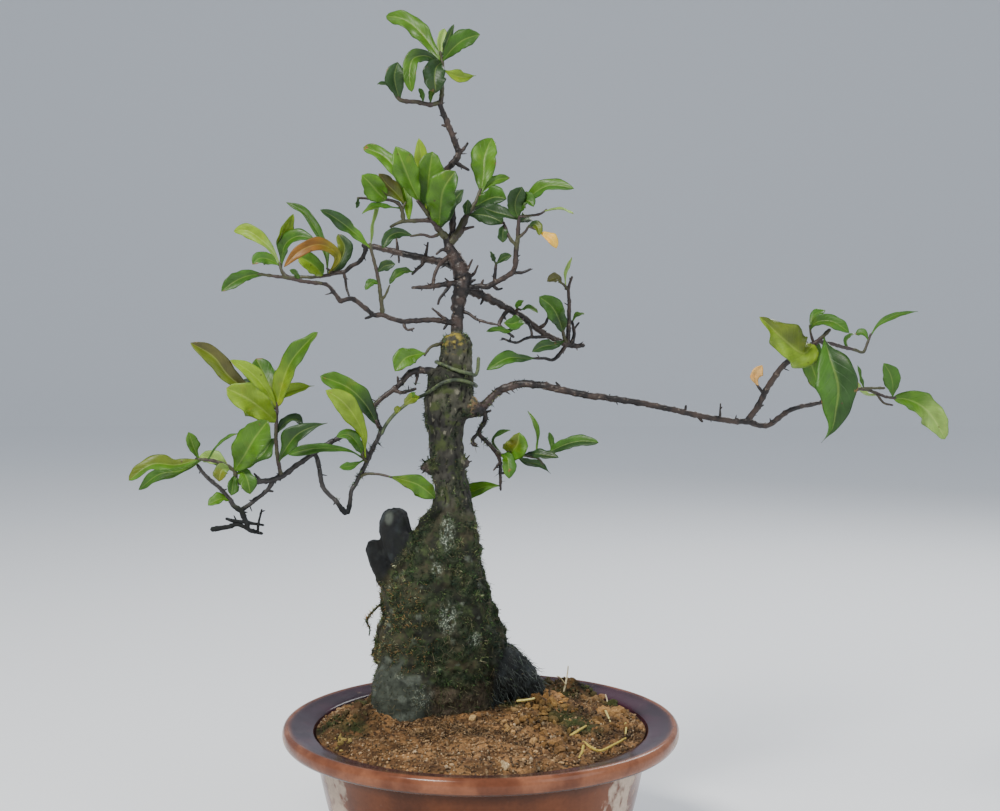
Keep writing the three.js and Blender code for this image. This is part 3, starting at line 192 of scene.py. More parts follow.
# Woody branches and twigs, in the same form. A radius left out runs evenly between its neighbours.
BRANCHES = [
    # The young leader, from inside the stump to the fork of the crown, and on up to the apex.
    [[-17, 372, 0, 5], [-16.5, 392, 0, 4], [-16, 403, 0, 4], [-15, 413, 0, 5], [-13, 424, 0, 6],
        [-14, 433, 0, 6], [-18.5, 442, 0, 4.6], [-22.5, 451, 0, 3.2], [-24, 456, 0, 2.6]],
    [[-22, 449, 1, 2.4], [-20, 460, 4], [-20, 474, 6], [-22, 490, 6], [-24, 502, 3, 2.2], [-18, 508.5, 0],
        [-15.5, 514, 0, 2.3], [-18.5, 523, 0], [-23, 535, 0, 2], [-27, 544, 0, 1.9], [-28.2, 548, 0, 1.8]],
    [[-15.5, 513, 0, 1.4], [-12, 517, 1], [-9, 521, 1, 0.8]],
    [[-17.5, 507.5, 0, 1.6], [-13, 505, 2], [-8.5, 502.5, 3, 1]],
    # The upper left branch with its spurs.
    [[-14, 433, 0, 3], [-20, 436.5, 3, 2.9], [-33, 439.5, 9], [-46, 442.5, 16, 2.4], [-58, 445, 22],
        [-70, 448, 29], [-82, 450, 34, 1.9]],
    [[-58, 445, 22, 1.2], [-58.5, 450, 20], [-59, 455, 18, 0.7]],
    [[-38.5, 441, 12, 1.2], [-37, 452, 10, 0.7]],
    [[-40, 441, 12, 1.5], [-41, 437, 10], [-44.5, 433.5, 8], [-48, 430, 6, 0.9]],
    [[-80, 449.5, 33, 1.6], [-82, 443, 35], [-86, 438, 37], [-91, 435.5, 39], [-96, 431.5, 41, 1.5],
        [-104, 430.5, 43, 1.4]],
    [[-96, 431.5, 41, 1.2], [-95, 426, 41], [-94, 420, 40], [-92.5, 415, 38, 0.8]],
    # Twigs in the middle, left of the leader.
    [[-22, 443, 0, 1.5], [-26.5, 439, -4], [-30, 435, -7], [-32.5, 429, -9], [-33.8, 421, -10, 1.1]],
    [[-14, 424, -2, 2], [-22, 423.5, -5], [-30, 422, -8], [-36, 421, -10, 1.6], [-48, 420.5, -14, 1]],
    [[-22, 421.5, -5, 1.2], [-26, 416.5, -7], [-29, 412, -8], [-30, 409, -8, 0.8]],
    [[-22, 446, 0, 1.5], [-27, 447, -2], [-31, 444, -3, 0.8]],
    # The lower left branch, from the foot of the leader, with its spurs.
    [[-18, 396, -2, 2.4], [-24, 396.5, -4, 2], [-32, 398, -7], [-44, 397.5, -12], [-56, 397, -16, 1.7],
        [-63, 399, -19], [-69, 401.5, -21], [-75, 401.5, -23], [-81, 406, -26, 1.7], [-90, 412.5, -29],
        [-99, 411, -32, 1.6]],
    [[-74, 401.5, -23, 1.2], [-81, 399, -26, 0.8]],
    [[-54, 397, -15, 1.2], [-53.5, 393, -17], [-51, 391, -18], [-47, 392, -19, 0.7]],
    [[-22, 396.5, -4, 1.4], [-28, 401, -8], [-34, 406, -12, 0.7]],
    [[-98.5, 411, -32, 1.5], [-103, 417, -33], [-107, 422, -34], [-114, 424, -36, 1.2]],
    # Spurs on the right of the leader.
    [[-12, 432, 0, 1.5], [-9, 434, -2], [-6, 440, -4, 0.7]],
    [[-8, 428, 0, 1.3], [-5, 430, -2], [-2, 436, -3, 0.6]],
    # The upper right branch.
    [[-12, 421, 0, 2.2], [-6, 421, -3, 2], [0, 421.5, -6], [5, 421.5, -8], [10, 424, -10], [17, 428, -13],
        [22, 431, -15, 1.8], [24, 435, -16], [24.5, 441, -17], [25, 449, -18, 1.7]],
    [[22, 431, -15, 1.3], [29, 431, -15], [35, 433.5, -16, 0.8]],
    [[9.5, 423.5, -10, 1.3], [10, 430, -12], [10.5, 435, -13, 0.9]],
    [[8, 422.5, -9, 1.4], [12, 419.5, -6], [15, 420, -5, 0.7]],
    # The lower right branch, with the twigs under and over it.
    [[-13, 420, 0, 3.6], [-7, 418.5, 2, 3.2], [0, 415.5, 5, 3], [8, 412, 9, 2.7], [16, 408, 13, 2.5],
        [22, 404.5, 16, 2.4], [28, 400.5, 19], [34, 396.5, 22, 2.3], [40, 391.5, 25], [46, 387.5, 27, 2.2],
        [53, 384, 29], [60, 381, 31, 2.2], [66, 380, 32], [72, 380, 33, 1.6]],
    [[20, 405.5, 15, 1.6], [17, 402, 12], [14, 398, 9], [13, 395, 7, 1.4], [16.5, 391, 5],
        [23, 386, 2, 0.8]],
    [[40, 392, 25, 1.4], [45, 395, 22], [47, 399, 20], [49.5, 404, 18, 0.7]],
    [[57, 383, 30, 1.5], [48, 386, 26], [40, 386, 22], [32, 385, 18], [25, 382, 14], [15, 385, 9, 0.8]],
    [[33, 397, 21, 1.2], [35, 392, 18], [36, 387, 16, 0.8]],
    [[-14, 404.5, 0, 1.3], [-8, 402, -3], [-3, 398.5, -6], [5, 396, -9], [12, 394.5, -12, 0.7]],
    [[61, 380.5, 31, 1.8], [61.5, 390, 30], [62, 400, 28, 1.5], [62, 411, 26], [61.5, 420, 24],
        [64, 428, 22, 0.9]],
    [[64, 380, 32, 1.6], [65.5, 389, 33], [64, 397, 34, 0.9]],
    [[60, 380, 31, 1.4], [55, 373.5, 28], [51, 370, 26, 1.3], [44, 371, 22], [37, 371, 18, 0.9]],
    # The long right branch.
    [[-6, 336, -5, 5], [0, 336.5, -7, 3.8], [4.5, 340.5, -9, 2.8], [11, 346.5, -10, 2.8],
        [18, 350.5, -12, 2.8], [26, 352.5, -13], [35, 353, -14, 2.6], [45, 351.5, -15],
        [57, 348.5, -16, 2.4], [72, 345.5, -18], [90, 343, -19, 2.2], [110, 340, -20], [130, 336, -21, 2],
        [150, 331.5, -20], [165, 328.5, -19, 1.9], [180, 326.5, -17], [190, 326, -16, 2], [197, 323.5, -14],
        [203, 324, -13, 1.8], [210, 329, -10], [218, 334.5, -7], [228, 337.5, -3, 1.6], [240, 340, 3, 1.5],
        [252, 344, 8], [262, 348, 11, 1.3]],
    [[57, 349, -16, 1.3], [53, 354, -16, 0.7]],
    [[168.5, 328, -18, 0.9], [168.8, 339, -16, 0.5]],
    [[187, 326, -16, 2.2], [190, 330, -17, 2.1], [195, 337, -20], [200, 347, -23], [206, 357, -27, 2],
        [213, 366, -31], [221, 372, -35], [229, 378, -39, 1.9], [233, 380.7, -41, 1.8]],
    [[199, 346, -23, 1.2], [194, 353, -21, 0.8]],
    # The hanging twig under the long branch.
    [[-1, 336, -7, 2.6], [3, 331, -6, 1.7], [2.5, 326, -3, 1.6], [-1, 320.5, 0, 1.6], [-1.5, 318, 3, 1.6],
        [3, 313, 7, 1.5], [7, 309, 10], [11, 304, 13, 1.4], [13.5, 298, 15], [13.7, 290, 17, 1.2],
        [14, 278, 19, 0.8]],
    [[-2, 318, 3, 1.3], [-6, 313.5, 1], [-5.5, 310, 0], [-3, 309, 0, 0.8]],
    # The left branch and the pair of twigs that hang from it.
    [[-24, 358, -4, 4], [-36, 362, -9, 2.6], [-44, 362.5, -12, 2.3], [-51, 360, -14], [-56, 354, -16, 2],
        [-61, 349.5, -17], [-67, 345, -18], [-75, 337, -20, 1.6], [-73.5, 329, -21, 1.3],
        [-71, 320, -22, 1.4], [-76, 308, -24, 1.6], [-79.5, 300, -25, 1.7], [-84, 291, -26, 1.5],
        [-88, 283, -27], [-91.5, 277, -28, 1.4], [-92.5, 270, -28], [-94, 262, -28, 1.6]],
    [[-58, 351, -16, 1.2], [-58.5, 358, -17, 0.7]],
    [[-62, 349, -17, 1.5], [-56, 347, -19], [-46, 349.5, -24, 1]],
    [[-44, 362, -12, 1.2], [-45, 357, -14], [-46, 352.5, -15, 0.7]],
    [[-79.5, 301, -25, 1.7], [-85, 311, -26], [-92, 317, -28], [-100, 315, -30, 1.6], [-109, 310, -31],
        [-118, 304, -33, 1.7], [-130, 295.5, -35], [-140, 288, -37], [-148, 285, -38, 1.8],
        [-156, 284, -39], [-165, 283, -40], [-171, 283, -41, 1.5]],
    [[-117, 303.5, -32, 1.6], [-115, 298, -32, 1.6], [-113.5, 288, -33], [-112, 281, -33],
        [-109, 276.5, -34, 1.5], [-103, 270.5, -35], [-96, 261.5, -36, 1.7]],
    [[-155, 284, -39, 1.3], [-160, 289.5, -40, 0.7]],
    [[-146, 285, -38, 1.5], [-150, 279, -39], [-152, 277, -39, 1.4], [-158, 272, -40], [-164, 267.5, -41],
        [-169, 264, -42, 1.5]],
    [[-200, 295.5, -43, 1.1], [-197, 291, -43], [-190, 284, -43, 1.4], [-184, 279, -43],
        [-178, 272, -43, 1.5], [-174, 266, -42], [-169.5, 263, -42, 1.9], [-167.5, 258, -42],
        [-166, 255, -42, 1.6], [-164, 249.5, -42], [-159, 248, -41], [-155, 247, -41, 1]],
    [[-166, 255, -42, 1.2], [-175, 256, -44], [-180, 257.5, -45, 1]],
    [[-166, 255, -42, 1.2], [-160, 254, -40], [-154, 253, -39, 0.8]],
    [[-164, 249.5, -42, 1.2], [-172, 253.5, -43], [-180, 251.5, -44], [-190, 250, -45, 1.8]],
    [[-158, 248.5, -41, 1], [-157, 256, -41], [-155, 264, -40, 0.6]],
]

# Spurs and buds too small for the construction, in the same form as the branches.
SPURS = [
    [[-24.5, 533, 0, 1.2], [-27, 533.5, -1, 0.7]],
    [[-19.5, 527, 0, 1.2], [-17, 528, 0, 0.7]],
    [[-57.5, 445, 22, 1], [-57.3, 438, 24, 0.6]],
    [[-20.5, 422.5, -4, 1.1], [-25, 427, -6, 0.6]],
    [[-23, 396, -4, 1.2], [-26, 391.5, -6, 0.7]],
    [[-9, 424, 0, 1.3], [-4, 426, -2, 0.8]],
    [[0, 421.5, -6, 1.1], [1.8, 426, -7, 0.6]],
    [[3, 414.5, 6, 1.2], [0, 409, 5, 0.7]],
    [[65, 391, 33, 1], [69, 396, 36, 0.6]],
    [[144, 333, -20, 1.2], [144.5, 337.5, -20, 0.8]],
    [[153, 330, -19, 1.3], [156, 326.5, -19, 0.9]],
    [[195, 336, -20, 1], [199, 338, -19, 0.6]],
    [[13, 297, 15, 1], [9, 292, 13, 0.6]],
    [[13.7, 290, 17, 1], [18, 290, 18, 0.6]],
    [[3, 333, -6, 1.2], [7, 334, -8, 0.7]],
    [[-151, 277.5, -39, 1], [-147, 277, -38, 0.7]],
    [[-39, 297, -5, 0.7], [-41.5, 300, -6, 0.4]],
    [[-37, 298, -6, 0.6], [-37.5, 302, -8, 0.4]],
    [[-39, 292, -5, 0.7], [-41.5, 290, -7, 0.4]],
    [[-11, 299, -6, 0.7], [-8, 302.5, -7, 0.4]],
    [[-11, 297, -6, 0.6], [-6.5, 298.5, -6, 0.4]],
    [[-12, 300, -7, 0.6], [-11, 304, -9, 0.4]],
    # The rootlet that hangs at the left of the stump.
    [[-68, 199, -3, 0.9], [-77, 191, -6], [-81, 184.5, -6, 0.7], [-79, 179, -6], [-79.5, 174, -6, 0.4]],
]

# The outlines that leaves have here. Each bends the way along the blade, which moves the widest part
# towards the tip above 1, and then bends the width, which makes the blade fuller below 1.
LEAF_OUTLINES = {
    "usual": (1.4, 0.78),
    "blunt": (1.35, 0.5),
    "round": (1.1, 0.55),
    "egg": (0.8, 0.85),
    "drip": (0.95, 1.7),
    "spoon": (2, 0.8),
    "strap": (1, 0.55),
    "tail": (0.85, 2.2),
}

# Each leafy spray: its shoots as points and radius, and its leaves. A leaf is a colour, an outline, the
# width, the tilts at base and tip, and its points as across, up and behind. A colour is a name in
# LEAF_COLOURS, two of them from base>tip, or two of them for the left|right half. Bright, mid and dark
# are painted light and shade: between them, a left|right pair paints one half lit and the other shaded,
# and a base>tip pair paints a blade lit at one end and shaded at the other.
SPRAYS = {
    "spray_apex": {
        "shoots": [
            [[-28, 547, 0, 1.7], [-27, 556, 0], [-27, 566, 0], [-26.5, 576, 0], [-28, 584, 0, 1]],
            [[-27.5, 549.5, 0, 1.6], [-35, 547.8, -2], [-44, 549.5, -4], [-56, 551, -7, 1.5],
                [-62, 559, -8, 0.8]],
        ],
        "leaves": [
            ["bright", "blunt", 13, 15, 20, [[-28, 578, 0], [-35, 589, 6], [-45, 600.5, 12],
                [-54, 606.5, 16], [-66, 609, 22]]],
            ["mid", "usual", 14, 15, 20, [[-27, 577, 0], [-20, 585.5, -5], [-12, 592, -10],
                [-0.5, 596, -18]]],
            ["pale", "usual", 8, 5, 5, [[-28, 580, 1], [-27, 592, 6], [-25, 600, 9]]],
            ["dark", "usual", 6, 30, 30, [[-27, 581, 0], [-22.5, 592, -1], [-18.5, 603, -3]]],
            ["dark>bright", "blunt", 11, 20, 10, [[-27, 574, 0], [-37, 581, -6], [-47, 579, -12],
                [-49.5, 568, -16], [-48, 556.5, -17]]],
            ["dark", "usual", 15.5, 10, 10, [[-56, 550, -7], [-59, 560, -10], [-60, 568, -13],
                [-57.5, 577, -14]]],
            ["dark", "usual", 5, 60, 60, [[-61, 557, -8], [-65, 561, -9], [-72, 562, -11]]],
            ["dark", "blunt", 17, 5, 5, [[-27, 577, 0], [-31, 573, -5], [-32, 565, -8], [-31, 556, -9]]],
            ["lime", "drip", 10, 10, 40, [[-27, 572, 0], [-19, 568, 4], [-11, 566, 8], [-3, 568, 12]]],
            ["mid", "usual", 5, 40, 40, [[-40, 549, -3], [-41, 554, -4], [-43, 559, -6]]],
            ["mid", "usual", 5, 30, 30, [[-35, 549, -2], [-34, 555, -1], [-31, 559, 1]]],
        ],
    },
    "spray_crown_front": {
        "shoots": [
            [[-24, 455, 0, 2.6], [-29, 461, -4], [-33, 467, -8, 2], [-38, 473.5, -12],
                [-44, 481, -17, 1.2]],
            [[-33, 467, -8, 1.7], [-41, 467.5, -10], [-50, 467, -12], [-57, 466, -14], [-63, 463, -16, 1]],
            [[-54, 467, -13, 1.4], [-55, 474, -14], [-57.5, 479, -15], [-63, 481.5, -17],
                [-69, 482, -19], [-86, 483, -24, 0.8]],
            [[-55.5, 474, -14, 1.1], [-52.5, 480, -13, 0.8]],
            [[-28, 458.5, -3, 1.2], [-34, 456, -7], [-41, 457.5, -10], [-49, 456.5, -13, 0.8]],
        ],
        "leaves": [
            ["bright", "blunt", 13.5, 20, 25, [[-50, 467, -12], [-53, 486, -9], [-59, 502, -4],
                [-68, 512, 1], [-82, 518.5, 6]]],
            ["bright", "usual", 19, 10, 15, [[-42, 479, -15], [-48, 491, -19], [-54, 506, -24],
                [-59, 519, -26]]],
            ["lime", "spoon", 10, 10, 10, [[-38, 474, -12], [-39.5, 500, -8], [-41.5, 512, -7],
                [-43, 524.5, -9]]],
            ["mid>bright", "blunt", 21, 5, 5, [[-36, 471, -10], [-37, 486, -11], [-36, 500, -13],
                [-33.5, 515, -16]]],
            ["bright|mid", "blunt", 22, -5, -5, [[-29, 464, -8], [-28, 477, -18], [-26, 489, -25],
                [-18, 501.5, -31]]],
            ["dark", "usual", 13, 35, 35, [[-29, 461, -4], [-23, 471, -7], [-18, 481, -8], [-12, 489, -9]]],
            ["bright", "round", 16, 5, 5, [[-66, 481.5, -18], [-72, 487, -24], [-77, 493, -29],
                [-83, 499, -33]]],
            ["olive>brown", "usual", 13, 20, 20, [[-53, 479, -13], [-60, 487, -17], [-66, 493, -21],
                [-71, 500, -25]]],
            ["dark", "usual", 4, 40, 40, [[-85, 483, -24], [-86.5, 480, -26], [-87, 476, -28]]],
            ["mid", "usual", 6, 50, 50, [[-56.5, 476, -15], [-67, 477, -22], [-75, 477, -28],
                [-83, 472, -33]]],
            ["dark", "usual", 9, 15, 15, [[-47, 456.5, -12], [-57, 459, -17], [-64, 456, -22],
                [-69, 448, -25]]],
        ],
    },
    "spray_crown_right": {
        "shoots": [
            [[-21, 452, 0, 3], [-15, 460, 2, 3], [-12, 466, 4, 2.8], [-9, 472, 7, 2], [-4, 479, 10],
                [0, 489, 13, 1.2]],
            [[-14, 461, 2, 1.4], [-9, 462, -1], [-5, 463, -3, 0.8]],
        ],
        "leaves": [
            ["bright", "usual", 20, -15, -10, [[0, 485, 12], [2, 499, 16], [3, 512, 20], [8, 525, 26]]],
            ["bright", "usual", 7.5, 20, 20, [[0, 486, 12], [6, 492.5, 15], [13, 496, 18],
                [20.5, 497, 20]]],
            ["mid|dark", "usual", 16, 30, 20, [[-4, 477, 9], [3, 481, 5], [10, 483.5, 0], [18, 482.5, -5]]],
            ["dark", "usual", 14, 15, 15, [[-9, 471, 6], [-1, 471.5, 2], [8, 469.5, -2], [16, 465.5, -5]]],
            ["dark", "usual", 9, 30, 30, [[-7, 474, 8], [-2, 475, 14], [5, 476, 20], [14, 474, 27]]],
            ["dark", "usual", 7, 20, 20, [[-10, 470, 6], [-10, 476, 2], [-9, 482, -1]]],
        ],
    },
    "spray_right_top": {
        "shoots": [
            [[25, 447, -18, 1.7], [26, 456, -19], [26.5, 464, -20], [26.5, 472, -21, 1.1]],
            [[24.7, 450, -18.3, 1.2], [20, 456, -17], [18, 461, -16], [16, 466, -15, 0.9]],
            [[26, 455, -19, 1.1], [31, 459.5, -21], [34, 464, -23, 0.8]],
            [[26.5, 470, -21, 1], [36, 471, -23], [42, 472, -24], [46, 475, -25, 0.7]],
            [[34, 463, -23, 0.8], [39, 461, -25], [42, 458.5, -27, 0.6]],
        ],
        "leaves": [
            ["mid>dark", "blunt", 13, 10, 10, [[26.5, 469, -21], [24, 476, -24], [25, 483, -28],
                [29, 490.5, -32]]],
            ["mid", "usual", 11, 30, 30, [[26.5, 471, -21], [29, 478, -25], [33, 481, -29],
                [37, 477, -33]]],
            ["dark", "usual", 12, 40, 30, [[26.5, 468, -21], [18, 471, -19], [10, 473, -17],
                [2, 476, -16]]],
            ["bright|mid", "usual", 11, 35, 35, [[26.5, 471, -21], [33, 482, -24], [46, 491, -29],
                [65, 490, -38]]],
            ["pale", "usual", 5, 70, 70, [[45, 474, -25], [50, 475, -27], [57, 475, -30], [65, 472, -34]]],
            ["dark", "usual", 8, 15, 15, [[16.5, 465, -15], [15.5, 459.5, -17], [15.5, 452, -18]]],
            ["dark>olive", "usual", 7, 20, 20, [[33.5, 463, -23], [37, 465, -25], [40, 462, -28],
                [41, 457, -30]]],
            ["straw", "usual", 7.5, 15, 15, [[41, 459, -27], [46, 457, -29], [50, 454, -31],
                [53, 448, -32]]],
            ["dark", "usual", 9, 30, 30, [[26, 466, -20], [31, 468, -14], [35, 469, -8]]],
        ],
    },
    "spray_left_high": {
        "shoots": [
            [[-102, 430.5, 43, 1.4], [-109, 429, 44], [-118, 428, 45], [-128, 428, 46], [-134, 428, 47],
                [-139, 432, 47], [-140, 440, 47, 0.9]],
            [[-103, 430.5, 43, 1.1], [-108, 434, 42, 0.7]],
        ],
        "leaves": [
            ["mid>lime", "usual", 12, 30, 30, [[-140, 438, 47], [-140, 450, 44], [-137, 461, 42],
                [-131, 472, 41]]],
            ["mid", "usual", 12, 30, 30, [[-139.5, 436, 47], [-137, 450, 41], [-129, 456, 36],
                [-117, 455, 32]]],
            ["yellowed>rust", "usual", 10, 10, 10, [[-107, 429.5, 44], [-100.5, 443, 35],
                [-112, 450.5, 28], [-126, 446.5, 23], [-138, 435, 20]]],
            ["lime|bright", "blunt", 14, 10, 10, [[-111, 428.7, 44], [-114, 433, 38], [-119, 437.5, 34],
                [-128, 442.5, 31]]],
            ["olive|dark", "round", 12, 10, 10, [[-104, 430.5, 43], [-98, 440, 47], [-95.5, 449, 49],
                [-100, 458, 50]]],
            ["mid", "usual", 8, 25, 30, [[-107, 430, 44], [-110, 450, 49], [-116, 462, 52],
                [-124, 473, 55], [-136, 480, 58]]],
            ["pale>lime", "spoon", 11, 10, 10, [[-139.5, 434, 47], [-146, 446, 50], [-155, 455, 53],
                [-164, 460.5, 55], [-173, 460, 58]]],
        ],
    },
    "spray_left_reach": {
        "shoots": [
            [[-112, 423.6, -35.6, 1.3], [-125, 425, -39], [-137, 427.5, -42], [-148, 429, -44],
                [-156, 430, -45, 0.9]],
            [[-137, 427.5, -42, 1.1], [-140, 433, -42], [-141, 438, -41, 0.8]],
        ],
        "leaves": [
            ["bright>mid", "usual", 10, 20, 20, [[-141, 436, -41], [-148, 440, -44], [-155, 441, -48],
                [-160, 437, -51]]],
            ["mid", "usual", 11, 20, 20, [[-151, 429.5, -44], [-162, 429, -47], [-172, 425, -52],
                [-182, 418, -56]]],
            ["mid", "usual", 5, 30, 30, [[-127, 425.5, -39], [-130, 430, -40], [-134, 433, -42]]],
        ],
    },
    "spray_left_upright": {
        "shoots": [
            [[-69, 402, -21, 1.5], [-70, 413, -22], [-71, 421, -22], [-73, 432, -22], [-75, 440, -22],
                [-77.5, 451, -22, 1]],
            [[-70, 411, -22, 0.9], [-66, 417, -23], [-64, 422, -24, 0.6]],
        ],
        "leaves": [
            ["bright>dark", "usual", 10, 20, 25, [[-77, 448, -22], [-90, 460, -27], [-101, 468.5, -32],
                [-112, 475, -38]]],
            ["pale", "usual", 6, 60, 60, [[-77, 449, -22], [-76, 466, -18], [-71, 487, -14]]],
            ["dark", "usual", 8, 10, 10, [[-73, 431, -22], [-67.5, 435.5, -24], [-60, 437, -27]]],
            ["mid", "usual", 6, 30, 30, [[-71.5, 423, -22], [-76, 424.5, -25], [-81, 419, -28]]],
        ],
    },
    "leaf_left_inner": {
        "shoots": [],
        "leaves": [
            ["mid", "usual", 8, 40, 40, [[-46.5, 431.4, 6.8], [-55, 431.5, 2], [-60, 427.5, -1],
                [-64, 423, -3]]],
        ],
    },
    "spray_right_inner": {
        "shoots": [
            [[10.3, 433, -12.6, 1], [10.8, 438, -14, 0.8]],
        ],
        "leaves": [
            ["dark", "usual", 7, 35, 30, [[10.8, 437, -14], [16, 441, -16], [21.5, 443, -19]]],
            ["dark", "usual", 5, 60, 50, [[10.7, 437, -14], [8.5, 441, -16], [6.5, 446, -18]]],
        ],
    },
    "spray_right_middle": {
        "shoots": [
            [[29.5, 399.5, 19.5, 1.4], [28, 396, 14], [25, 394, 10, 0.8]],
        ],
        "leaves": [
            ["mid", "usual", 11, 20, 15, [[29, 398, 17], [27, 397, 10], [22, 395, 6], [16.5, 396, 3]]],
            ["mid", "usual", 6, 50, 40, [[26, 394.6, 11], [19, 390, 4], [12, 391, 0], [4, 390, -4]]],
        ],
    },
    "spray_right_pair": {
        "shoots": [
            [[24.5, 403, 17, 1.3], [26, 405.5, 13], [28, 405, 9, 0.8]],
        ],
        "leaves": [
            ["mid", "usual", 5, 30, 30, [[25.6, 405, 14], [26, 408, 10], [30, 411.5, 6]]],
            ["mid", "usual", 6, 55, 55, [[27.5, 405, 10], [34, 406, 6], [40, 403, 2]]],
        ],
    },
    "spray_right_end": {
        "shoots": [
            [[60.3, 381.5, 31, 1.6], [58.5, 386, 27], [57.5, 391, 24, 1]],
        ],
        "leaves": [
            ["dark>mid", "blunt", 14, 5, 5, [[57.8, 389, 25], [55, 398, 19], [50, 407, 13],
                [41.5, 414, 7]]],
            ["dark", "usual", 9, 20, 20, [[59.5, 383.5, 29], [52, 380.5, 22], [43, 379, 17],
                [36, 375.5, 13]]],
        ],
    },
    "spray_right_tip": {
        "shoots": [
            [[61.6, 419, 24.2, 1.1], [58, 423, 22], [55, 424.5, 20, 0.7]],
        ],
        "leaves": [
            ["brown", "usual", 8, 25, 25, [[57, 423.5, 21], [53, 427, 17], [46.5, 425, 13]]],
            ["pale", "usual", 3.5, 40, 40, [[59.5, 421.5, 23], [59, 431, 25], [64, 442, 29]]],
        ],
    },
    "leaf_right_small": {
        "shoots": [],
        "leaves": [
            ["bright", "usual", 4.5, 45, 45, [[64, 396, 34], [67.5, 401, 38], [73, 402.5, 42]]],
        ],
    },
    "leaf_right_under": {
        "shoots": [],
        "leaves": [
            ["dark>mid", "usual", 10.5, 30, 20, [[38.5, 371, 18.9], [30, 371, 12], [19, 371, 8],
                [4, 363, 4]]],
        ],
    },
    "spray_stump": {
        "shoots": [
            [[-26.5, 381.5, -3, 1.3], [-33, 380, -7], [-37, 377, -9], [-39.5, 373, -10, 0.8]],
        ],
        "leaves": [
            ["bright", "usual", 14, 10, 10, [[-38.7, 374.5, -9.6], [-46, 373.5, -14], [-53, 371, -19],
                [-60.5, 362, -24]]],
        ],
    },
    "leaf_low_inner": {
        "shoots": [
            [[-86.2, 287, -26.5, 1.1], [-80, 289.5, -29], [-72, 289, -31], [-63, 287, -33, 0.8]],
        ],
        "leaves": [
            ["bright", "usual", 14, 5, 5, [[-65, 287.5, -33], [-54, 285, -32], [-44, 281.5, -29],
                [-32, 272, -24]]],
        ],
    },
    "leaf_behind_stump": {
        "shoots": [],
        "leaves": [
            ["bright", "usual", 12, 10, 10, [[13.8, 281, 18.8], [4, 280.5, 22], [-6, 277, 25],
                [-20, 275, 27]]],
        ],
    },
    "leaf_orange": {
        "shoots": [],
        "leaves": [
            ["orange", "usual", 8, 15, 15, [[195.2, 351.5, -21.5], [193, 358, -23], [198, 366, -25]]],
        ],
    },
    "spray_far_right_high": {
        "shoots": [
            [[231.5, 379.6, -40.2, 1.8], [236, 382.5, -42], [240, 386, -44], [245, 391, -46, 1.2]],
            [[237, 383.2, -42.5, 1.4], [247, 381, -38], [256, 378.5, -33], [263, 377, -29, 1.1],
                [269, 375.5, -26], [271.5, 381, -25], [274, 388, -24, 0.8]],
            [[234, 381, -41, 1], [232, 388, -43], [231, 394, -45, 0.7]],
        ],
        "leaves": [
            ["lime|olive", "egg", 24, 10, 25, [[234, 381, -41.5], [227, 374.5, -50], [213, 384, -60],
                [196.5, 400, -70]]],
            ["mid>bright", "egg", 15, 10, 10, [[237, 382, -42], [232.5, 369, -33], [236, 357, -28],
                [241, 345, -24]]],
            ["dark|mid", "tail", 29, 5, 5, [[241, 386, -44], [245, 373, -56], [251.5, 351, -62],
                [250, 334, -62], [247.5, 321, -58], [240, 311, -52]]],
            ["mid", "usual", 10, 20, 20, [[231.5, 391, -44], [235, 396, -49], [246, 397, -54],
                [259, 389, -58]]],
            ["mid", "usual", 6, 35, 35, [[231.2, 392, -45], [234, 401, -42], [242, 405, -38]]],
            ["mid", "usual", 7, 60, 60, [[258, 378, -32], [257, 383, -30], [262, 389, -27]]],
            ["mid", "usual", 6, 40, 40, [[272.5, 384, -24.6], [268, 389, -22], [263, 388, -20]]],
            ["mid", "drip", 5, 20, 20, [[273.5, 386.5, -24], [280, 395, -22], [291, 401, -20],
                [307, 404, -16]]],
        ],
    },
    "spray_far_right_low": {
        "shoots": [
            [[260, 347.2, 10.6, 1.3], [268, 349.5, 13], [276, 347.5, 15], [285, 344, 17],
                [292, 343, 19, 1]],
            [[268, 349.5, 13, 1.1], [276, 350, 11], [284, 350, 9, 0.9]],
            [[278, 346.8, 15.5, 0.9], [284, 339.5, 13], [290, 338, 11, 0.7]],
        ],
        "leaves": [
            ["pale", "usual", 8, 70, 70, [[281, 345.5, 16], [272, 345, 22], [266, 349, 26],
                [262, 358, 29]]],
            ["mid", "usual", 4, 50, 50, [[270, 349, 13], [267, 357, 11], [265, 366, 9]]],
            ["mid", "usual", 12.5, 10, 10, [[290, 343.3, 18.6], [290, 352, 13], [288, 360, 9],
                [283.5, 367.5, 6]]],
            ["bright>pale", "round", 20, 10, 20, [[290.5, 343.2, 18.8], [302, 341.5, 20],
                [314, 334.5, 21], [328, 314, 20]]],
        ],
    },
    "spray_right_low": {
        "shoots": [
            [[10, 305.5, 12.3, 1.5], [15, 302.8, 14], [21, 303, 15], [29, 303, 14], [37, 301.5, 13],
                [45, 303, 12], [50, 305.5, 11, 0.9]],
            [[36, 301.7, 13.2, 0.9], [41, 300, 15], [44, 296, 16, 0.7]],
        ],
        "leaves": [
            ["olive|bright", "round", 17, 5, 5, [[19, 303, 14.5], [22.5, 306, 8], [26, 311, 4],
                [27, 318.5, 2]]],
            ["mid|bright", "usual", 10.5, 10, 10, [[14, 303.2, 13.7], [18.5, 301, 8], [19.5, 295, 5],
                [20, 286, 3]]],
            ["dark", "drip", 7, 15, 25, [[24, 303, 14.7], [32, 297.5, 21], [41, 296, 25],
                [49.5, 289.5, 29]]],
            ["dark", "usual", 8, 40, 30, [[30, 303, 13.9], [38, 303.5, 7], [46, 302.5, 3], [55, 301, -1]]],
            ["mid|dark", "strap", 10, 25, 25, [[48, 304.5, 11.3], [58, 309.5, 8], [70, 312.5, 4],
                [83, 311.5, -1]]],
            ["mid", "usual", 5, 30, 30, [[49.5, 305.3, 11], [49.5, 312, 14], [48, 319, 17]]],
            ["bright", "usual", 5, 50, 50, [[39, 302, 12.8], [39.5, 315, 17], [38, 325, 21],
